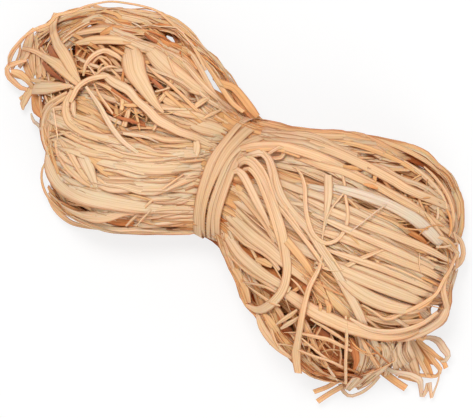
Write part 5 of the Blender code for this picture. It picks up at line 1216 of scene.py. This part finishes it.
# For each CAD node its strands of the tie: tint, and the line of the strand over the top of
# the waist as rows of x, y, lift and width.
TIE = {
    "tie_wrap_1": [(0.3, [(6.5, 39.5, 2.5, 2.4), (1, 38, 2.5, 3), (-4, 35.5, 1.8, 3.2),
        (-6, 31, 1, 3.2), (-7.5, 25, 1, 3.4), (-8.5, 18.5, 1, 3.8), (-9.5, 12, 1, 4.2),
        (-10, 5, 1, 4.6), (-8.5, -4, 1, 5.2), (-6.5, -14.5, 1, 5.4), (-3.5, -23, 1, 5.6),
        (-0.5, -30, 1, 5.6), (3.5, -37, 1, 5)]),
     (0.62, [(6, 39, 0, 2), (2, 36.5, 0.7, 2), (-1.5, 33, 0.7, 2.2), (-3.5, 28.5, 0.7, 2.2),
        (-5, 23, 0.5, 2)])],
    "tie_wrap_2": [(0.33, [(11, 37, 3.5, 4.6), (4.5, 36, 3, 5.6), (1, 33, 1.5, 6), (-1.5, 28, 1.6, 6),
        (-3, 22.5, 1.6, 5.8), (-4.5, 17, 1.6, 5.4), (-5.5, 11, 1.6, 5), (-5.5, 4, 1.6, 4.4),
        (-5, -3, 1.6, 3.8), (-4, -11, 1.6, 3.2), (-2.5, -18, 1.6, 3), (0.5, -26, 1.6, 2.8),
        (5.5, -34.5, 1.6, 2.8)])],
    "tie_wrap_3": [(0.3, [(9, 30.5, 1.6, 3.4), (6, 27.5, 2, 4.4), (3, 24, 2, 4.2), (0, 19.5, 1.8, 4),
        (-1.5, 15, 1.6, 3.6), (-2.5, 9.5, 1.4, 3.2), (-2, 4, 1.3, 3.2), (-1.5, -2.5, 1.3, 2.8),
        (-0.5, -9, 1.3, 2.6), (0.5, -15.5, 1.3, 2.6), (2.5, -21.5, 1.3, 2.5), (5, -28, 1.3, 2.5),
        (8.5, -33.5, 1.3, 2.5)]),
     (0.28, [(1.5, 19, 0.6, 2), (-0.5, 15, 1, 2.4), (-1, 9, 1.2, 2.6), (-0.5, 3.5, 1.2, 2.6),
        (0.5, -3, 1.2, 2.6), (1, -8.5, 1.2, 2.6), (2.5, -14.5, 1.2, 2.6), (4.5, -20.5, 1.2, 2.6),
        (7, -26.5, 1.2, 2.4), (11, -32.5, 1.2, 2.2)])],
    "tie_wrap_4": [(0.3, [(13.5, 27.5, 2.6, 2.4), (10, 25.5, 2.6, 2.8), (6.5, 22.5, 2.4, 3),
        (3.5, 19.5, 2, 3.2), (2, 15.5, 1.8, 3.4), (2, 10.5, 1.8, 3.6), (2.5, 4.5, 1.8, 3.8),
        (3, -1.5, 1.8, 3.8), (4, -7.5, 1.8, 3.8), (5, -13.5, 1.8, 3.8), (6.5, -19.5, 1.8, 3.6),
        (9, -25, 1.8, 3.4), (13, -31, 1.8, 3.2)])],
}
# For each bow end its tangles of thin broken fibres: x, y, how far they spread along and
# across, how many, the least and greatest lift over the hank, tint and how much it varies.
# The deepest tangles, in the eye of the small end and in the cavity of the large end, take
# dark tints: painted shade.
TANGLES = {
    SMALL: [(-98, 24, 15, 8, 14, -15, -5, 0.84, 0.1), (-59, 53, 12, 5, 16, -2, 4, 0.78, 0.12),
        (-62, 14, 22, 10, 24, -1, 4.5, 0.55, 0.2), (-92, -30, 18, 10, 12, -1, 4, 0.45, 0.15)],
    LARGE: [(90, -55, 22, 14, 20, -9, 2, 0.55, 0.16), (92, -57, 15, 11, 12, -17, -8, 0.8, 0.12),
        (68, -62, 7, 7, 16, -5, 3, 0.45, 0.16), (62, -36, 18, 12, 10, -7, 1, 0.7, 0.2),
        (90, 42, 22, 9, 30, -3, 4.5, 0.5, 0.2), (108, 18, 18, 12, 14, -2, 4.5, 0.5, 0.18)],
}


# ---------------------------------------------------------------- strands laid over the hank

LOCK_THICK = 3.0           # how high the strands of one lock are piled
# For each bow end: the strands of a lock for each one in its row, and the width of each.
FILL = {SMALL: (1.45, 0.8), LARGE: (1.3, 1.0)}
# How loosely the strands of a lock keep to their places, by the side its line starts on.
LOOSENESS = {SMALL: 0.3, LARGE: 0.14}
LAID_CLEAR = 0.8           # least height of a laid strand's middle above the table
STRIP_OVER = 2.0           # a strip at lift 0 lies this far over the hank's top face
# How many single fibres lie across each bow end, and between which distances they start.
STRAYS = {SMALL: (85, -108, -14), LARGE: (60, 16, 128)}
STRAY_LENGTHS = (14, 55)
THIN_WIDTHS = (0.5, 0.7, 1.0, 1.6, 2.2)
BROKEN_WIDTHS = (0.5, 0.7, 1.0, 1.5, 2.2)
TAIL_OVER = 5.5            # a tail lies at least this far over the hank's top face
LEAF_CURL = 0.3            # share of a row's curl by which the strip bulges, in widths


def along_route(route, step):
    """Rows every `step` millimetres on a smooth curve through given rows."""
    route = np.asarray(route, float)
    gone = np.r_[0, np.cumsum(np.linalg.norm(np.diff(route[:, :2], axis=0), axis=1))]
    table = np.column_stack((gone, route))
    at = np.linspace(0, gone[-1], max(5, int(gone[-1] / step) + 1))
    return np.stack([smooth(at, table, column) for column in range(1, table.shape[1])], axis=1)


def beside(line):
    """The level direction square to a line of rows, at each row."""
    ahead = np.gradient(line[:, :2], axis=0)
    ahead /= np.linalg.norm(ahead, axis=1, keepdims=True) + 1e-9
    return np.stack((-ahead[:, 1], ahead[:, 0]), axis=1)


def end_taper(steps, step, length):
    """1 along a strand, easing down to 0.15 over `length` millimetres at both its ends."""
    gone = np.arange(steps)[None, :] * step
    nearest = np.minimum(gone, gone[:, -1:] - gone)
    return 0.15 + 0.85 * ease((nearest + 1) / length)


def laid_lock(strands, rng, count, width, tint, route, step=4.0):
    """A lock of strands over the hank. Strand i keeps to its own share a of the lock's
    spread, which drifts along it: point = line + a spread beside it, at the hank's top
    height plus the lock's lift plus the strand's own layer."""
    line = along_route(route, step)
    aside = beside(line)
    loose = LOOSENESS[SMALL if route[0][0] < 0 else LARGE]
    t = np.linspace(0, len(line) * step / 60, len(line))[None, :]
    own = lambda size: rng.normal(0, size, (count, 1))
    place = rng.permutation(np.linspace(-1, 1, count))[:, None] + own(0.1)
    place = 0.9 * place + loose * wander(rng, count, t)
    layer = np.linspace(0, 1, count)[:, None]
    x = line[:, 0] + place * line[:, 3] * aside[:, 0] + 0.8 * loose * wander(rng, count, 4 * t)
    y = line[:, 1] + place * line[:, 3] * aside[:, 1] + 0.8 * loose * wander(rng, count, 4 * t)
    tip = end_taper(len(line), step, rng.uniform(4, 14, (count, 1)))
    lift = line[:, 2] + LOCK_THICK * layer + 1.6 * loose * wander(rng, count, t * 1.5)
    z = top_height(x, y) + pulled_in(lift, x) - 2.5 * (1 - tip)
    centre = parted(np.stack((x, y, z), axis=-1))
    centre[..., 2] = np.maximum(centre[..., 2], LAID_CLEAR)
    wide = strand_widths(rng, count, width) * (1 + 0.15 * wander(rng, count, t * 1.3)) * tip
    roll = own(0.2) + loose * 1.2 * wander(rng, count, t)
    # Lower strands of a lock take a darker, more orange tint and upper ones a paler one: painted shade
    # between its layers. Each strand adds a random tone.
    shade = tint + 0.24 * (0.8 - 2 * layer) + own(0.12)
    strands.add(centre, np.maximum(wide, 0.35), roll, np.clip(shade, STRAW, 0.99),
                out=skyward(centre, 0.7), curl=own(0.015), crease=own(0.035))


def strays(strands, rng, side, step=3.0):
    """Single fibres and thin strips lying across the others. Each is a shallow arc that
    starts anywhere on the hank and leans from the run of the strands by a random angle."""
    count, low, high = STRAYS[side]
    start = rng.uniform(low, high, (count, 1))
    share = rng.uniform(-0.85, 0.85, (count, 1))
    length = rng.uniform(*STRAY_LENGTHS, (count, 1))
    lean = rng.normal(0, 0.38, (count, 1)) + np.arctan(share * side * 0.25)
    steps = int(STRAY_LENGTHS[1] / step)
    gone = np.linspace(-0.5, 0.5, steps)[None, :] * length
    turn = lean + rng.normal(0, 0.010, (count, 1)) * gone
    x = start + np.cumsum(np.cos(turn), axis=1) * length / steps * side
    y = middle_line(start) + share * half_width(start)
    y = y + np.cumsum(np.sin(turn), axis=1) * length / steps
    x, y = held_on_hank(side, x, y, edge=0.96, nearest=8, margin=4)
    tip = ease((0.5 - np.abs(gone) / length) * 6)
    lift = rng.uniform(2.0, 5.0, (count, 1)) - 3.5 * (1 - tip)
    z = np.maximum(top_height(x, y) + pulled_in(lift, x), LAID_CLEAR)
    wide = rng.choice(THIN_WIDTHS, (count, 1)) * (0.3 + 0.7 * tip)
    roll = rng.normal(0, 0.3, (count, 1))
    shade = np.clip(rng.normal(0.42, 0.16, (count, 1)), STRAW, 0.95)
    strands.add(np.stack((x, y, z), axis=-1), wide, roll, shade)


def tangle(strands, rng, side, x, y, long, wide, count, low, high, tint, varied, steps=12):
    """Short thin fibres that lie any way round a place on the hank. Each is a shallow arc of
    random length and bend through a random point near that place."""
    draw = lambda first, last: rng.uniform(first, last, (count, 1))
    length, bend = draw(7, 24), draw(-1.6, 1.6)
    way = rng.normal(0, 1.0, (count, 1))
    t = np.linspace(-0.5, 0.5, steps)[None, :]
    turn = way + bend * t
    x = x + rng.normal(0, 0.5, (count, 1)) * long + np.cumsum(np.cos(turn), axis=1) * length / steps
    y = y + rng.normal(0, 0.5, (count, 1)) * wide + np.cumsum(np.sin(turn), axis=1) * length / steps
    x, y = held_on_hank(side, x, y, edge=0.93, nearest=16, margin=7)
    tip = ease((0.5 - np.abs(t)) * 5)
    lift = draw(low, high) + draw(-2.5, 2.5) * t - 2.0 * (1 - tip)
    z = np.maximum(top_height(x, y) + pulled_in(lift + STRIP_OVER, x), LAID_CLEAR)
    wide = rng.choice(BROKEN_WIDTHS, (count, 1)) * (0.35 + 0.65 * tip)
    shade = np.clip(rng.normal(tint, varied, (count, 1)), STRAW, 0.98)
    centre = np.stack((x, y, z), axis=-1)
    strands.add(centre, wide, rng.normal(0, 0.35, (count, 1)), shade, out=skyward(centre, 0.5))


def strip(strands, rng, lies, tint, route, curl=0.0, step=2.5):
    """One strip of leaf through rows of x, y, height and width. The height counts from the
    hank's top face for a strip that lies "over" the hank, and from the table for one that
    stands "free"; a "tail" is as high as its rows say but never below the topmost strands."""
    line = along_route(route, step)
    x, y, height, wide = line.T
    top = top_height(x, y)
    if lies == "over":
        height = top + pulled_in(height + STRIP_OVER, x)
    elif lies == "tail":
        height = np.maximum(height, top + TAIL_OVER * ease((x - 6) / 12))
    t = np.linspace(0, len(line) * step / 50, len(line))[None, :]
    # Only the fourth of these five curves and the second of these two numbers are used. The
    # others are drawn to keep the order of random draws, and so every strip as it is.
    roll = 0.12 * [wander(rng, 1, t) for _ in range(5)][3]
    _, crease = rng.normal(0, (1, 0.03))
    centre = np.stack((x, y, height), axis=-1)[None]
    strands.add(centre, np.maximum(wide, 0.4), roll, tint, out=skyward(centre, 1.0),
                curl=LEAF_CURL * curl, crease=crease)


def surface():
    """The locks and stray fibres on top of each bow end, and the single strips among them."""
    for side, name in ((SMALL, "small_end_top"), (LARGE, "large_end_top")):
        rng, strands = dice(name), Strands()
        many, wide = FILL[side]
        for count, width, tint, route in LOCKS[side]:
            laid_lock(strands, rng, int(many * count), wide * width, tint, route)
        ribbon_piece(name + "_locks", strands, "raffia_hank")
        strands = Strands()
        strays(strands, rng, side)
        for row in TANGLES[side]:
            tangle(strands, rng, side, *row)
        ribbon_piece(name + "_strays", strands, "raffia_hank")
    for name, rows in STRIPS.items():
        rng, strands = dice(name), Strands()
        for row in rows:
            strip(strands, rng, "over", *row)
        ribbon_piece(name, strands, "raffia_hank")


def loose_strips():
    """The tails of the tie and the strands that leave the bow, in place of their CAD nodes."""
    for name, rows in LOOSE.items():
        rng, strands = dice(name), Strands()
        lies = "tail" if name.startswith(("tail", "strand_dangling")) else "free"
        for row in rows:
            strip(strands, rng, lies, *row)
        if name == "tie_knot":
            knot(strands, rng)
        slot = "raffia_tie" if name == "tie_knot" else "raffia_loose"
        ribbon_piece(name + "_raffia", strands, slot, name)


# ---------------------------------------------------------------- the tie

TIE_TILT = -0.177          # the tie leans: x shift for each millimetre across
TIE_HALF = 35.2            # half width of the tied waist
TIE_OVER = 1.5             # height of the tie over the strands on top of the waist
TIE_UNDER = 0.8            # and under them on its underside
KNOT_LIFT = 49.5
# Lean, start angle and width of the strands of the knot.
KNOT_LOOPS = ((0.5, 0.3, 3.4), (-0.6, 2.0, 3.0), (0.1, 4.1, 2.6), (1.2, 1.1, 1.6),
              (-1.3, 5.0, 1.4))


def waist_top(y):
    """Height of the tied waist's top face at y: part of a rounded-square curve."""
    middle, up, _ = heights(0.0, 0.0)
    share = np.clip(np.abs(y) / TIE_HALF, 0, 0.995)
    return middle + (up + TIE_OVER) * (1 - share ** TOP_SQUARE) ** (1 / TOP_SQUARE)


def under_waist(place, width):
    """Rows of x, y, z and width that lead a strand down the front of the waist, along its
    underside and up its back, following |cos/half|^p + |sin/tall|^p = 1 / r^p."""
    middle, _, down = heights(0.0, 0.0)
    angle = np.radians(np.linspace(188, 372, 30))
    size = ((np.abs(np.cos(angle)) / (TIE_HALF - 1)) ** BELLY_SQUARE
            + (np.abs(np.sin(angle)) / (down + TIE_UNDER)) ** BELLY_SQUARE)
    radius = size ** (-1 / BELLY_SQUARE)
    y, z = radius * np.cos(angle), middle + radius * np.sin(angle)
    x = place + TIE_TILT * (y + TIE_HALF)
    return np.stack((x, y, z, np.full(len(x), float(width))), axis=1)


def smoothed(line, times=4):
    """A path with each inner point moved to the mean of itself and its two neighbours."""
    for _ in range(times):
        line = np.concatenate((line[:1], 0.25 * line[:-2] + 0.5 * line[1:-1] + 0.25 * line[2:],
                               line[-1:]))
    return line


def tie():
    """Strands wound once round the waist. Each follows its given line over the top, and
    one that reaches the front goes on down it, along the underside and up the back again.
    On top each faces up and away from the waist's middle line."""
    middle = heights(0.0, 0.0)[0]
    for name, rows in TIE.items():
        rng, strands = dice(name), Strands()
        for tint, route in rows:
            line = along_route(route, 2.0)
            line[:, 2] += waist_top(line[:, 1])
            if route[-1][1] < 0:
                line = np.concatenate((line, under_waist(line[-1, 0], line[-1, 3])))
            centre = smoothed(line[:, :3])[None]
            away = centre - np.array((0, 0, middle))
            away[..., 0] = 0
            turn = np.linspace(0, len(line) / 30, len(line))[None, :]
            wide = line[None, :, 3] * (1 + 0.03 * wander(rng, 1, turn))
            strands.add(centre, wide, 0.04 * wander(rng, 1, turn), tint, out=away)
        ribbon_piece(name + "_raffia", strands, "raffia_tie", name)


def knot(strands, rng):
    """The knot: a few strands pulled through each other. Each follows a small loop that
    goes round the knot's middle at its own lean, with radius swelling twice a turn."""
    turn = np.linspace(0, 2 * np.pi, 40)[None, :]
    middle_x, middle_y = KNOT_PLACE[0] + 1.0, KNOT_PLACE[1]
    for lean, start, width in KNOT_LOOPS:
        radius = 1 + 0.22 * np.sin(2 * turn + start)
        a = 3.6 * radius * np.cos(turn + start)
        b = 2.4 * radius * np.sin(turn + start)
        x = middle_x + a * np.cos(lean) - 0.4 * b * np.sin(lean)
        y = middle_y + a * np.sin(lean) + 0.4 * b * np.cos(lean)
        z = KNOT_LIFT + 0.8 * b + 0.4 * a * np.sin(lean)
        centre = np.stack((x, y, z), axis=-1)
        out = centre - np.array((middle_x, middle_y, KNOT_LIFT - 1.5))
        strands.add(centre, width, 0.2 * wander(rng, 1, turn / 3), 0.32, out=out, curl=0.03)


# ---------------------------------------------------------------- stage

CAMERA_HEIGHT = 1.3        # metres above the table
VIEW_LEVEL = 0.035         # height in metres at which the view is VIEW_WIDTH wide
VIEW_WIDTH = 0.2602
VIEW_TURN = 28.0           # the bundle's length lies this many degrees down from level
VIEW_MIDDLE = (14.1, -11.8)
FLOOR_GLOW = 0.75          # share of plain white in the floor as the camera sees it
# Name, place in metres, size and power of each lamp.
LAMPS = (("key", (-0.35, 0.30, 1.3), 0.45, 12.0), ("fill", (0.9, -0.6, 0.8), 1.0, 6.0))


def lay_floor():
    """A plain pale floor that keeps the bundle's shadow."""
    bpy.ops.mesh.primitive_plane_add(size=6.0, location=(0, 0, 0))
    floor = bpy.context.object
    floor.name = "floor"
    material = bpy.data.materials.new("floor_paper")
    material.use_nodes = True
    tree = material.node_tree
    paper = tree.nodes["Principled BSDF"]
    paper.inputs["Base Color"].default_value = (0.85, 0.85, 0.85, 1)
    paper.inputs["Roughness"].default_value = 0.9
    light_path = tree.nodes.new("ShaderNodeLightPath")
    glow = node(tree, "ShaderNodeEmission", Color=(1, 1, 1, 1), Strength=1.0)
    share = maths(tree, "MULTIPLY", light_path.outputs["Is Camera Ray"], FLOOR_GLOW)
    both = node(tree, "ShaderNodeMixShader", Fac=share)
    tree.links.new(paper.outputs[0], both.inputs[1])
    tree.links.new(glow.outputs[0], both.inputs[2])
    tree.links.new(both.outputs[0], tree.nodes["Material Output"].inputs["Surface"])
    floor.data.materials.append(material)
    floor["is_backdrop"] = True


def hang_lamp(name, place, size, power):
    """A square soft lamp that faces the bundle."""
    light = bpy.data.lights.new(name, "AREA")
    light.size = size
    light.energy = power
    holder = bpy.data.objects.new(name, light)
    holder.location = place
    away = np.array(place) / np.linalg.norm(place)
    holder.rotation_euler = (np.arccos(away[2]), 0, np.arctan2(away[0], -away[1]))
    bpy.context.scene.collection.objects.link(holder)


def set_camera():
    """The camera straight above the bundle, turned so that the bundle lies at a slant."""
    camera = bpy.data.cameras.new("camera")
    holder = bpy.data.objects.new("camera", camera)
    bpy.context.scene.collection.objects.link(holder)
    x, y = VIEW_MIDDLE
    holder.location = (WAIST[0] + x * MM, WAIST[1] + y * MM, CAMERA_HEIGHT)
    holder.rotation_euler = (0, 0, np.radians(VIEW_TURN))
    camera.lens = camera.sensor_width * (CAMERA_HEIGHT - VIEW_LEVEL) / VIEW_WIDTH
    camera.clip_end = 20
    bpy.context.scene.camera = holder


def stage():
    """The floor, a pale world, the lamps and the camera."""
    lay_floor()
    world = bpy.data.worlds.new("studio")
    bpy.context.scene.world = world
    world.use_nodes = True
    background = world.node_tree.nodes["Background"]
    background.inputs["Color"].default_value = (1, 0.99, 0.97, 1)
    background.inputs["Strength"].default_value = 0.5
    for row in LAMPS:
        hang_lamp(*row)
    set_camera()
    bpy.context.scene.view_settings.view_transform = "Standard"


hank()
surface()
tie()
loose_strips()
stage()

({"cad": [list(corner) for corner in CAD_BOX],
           "visual": [list(corner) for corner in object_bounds()]})
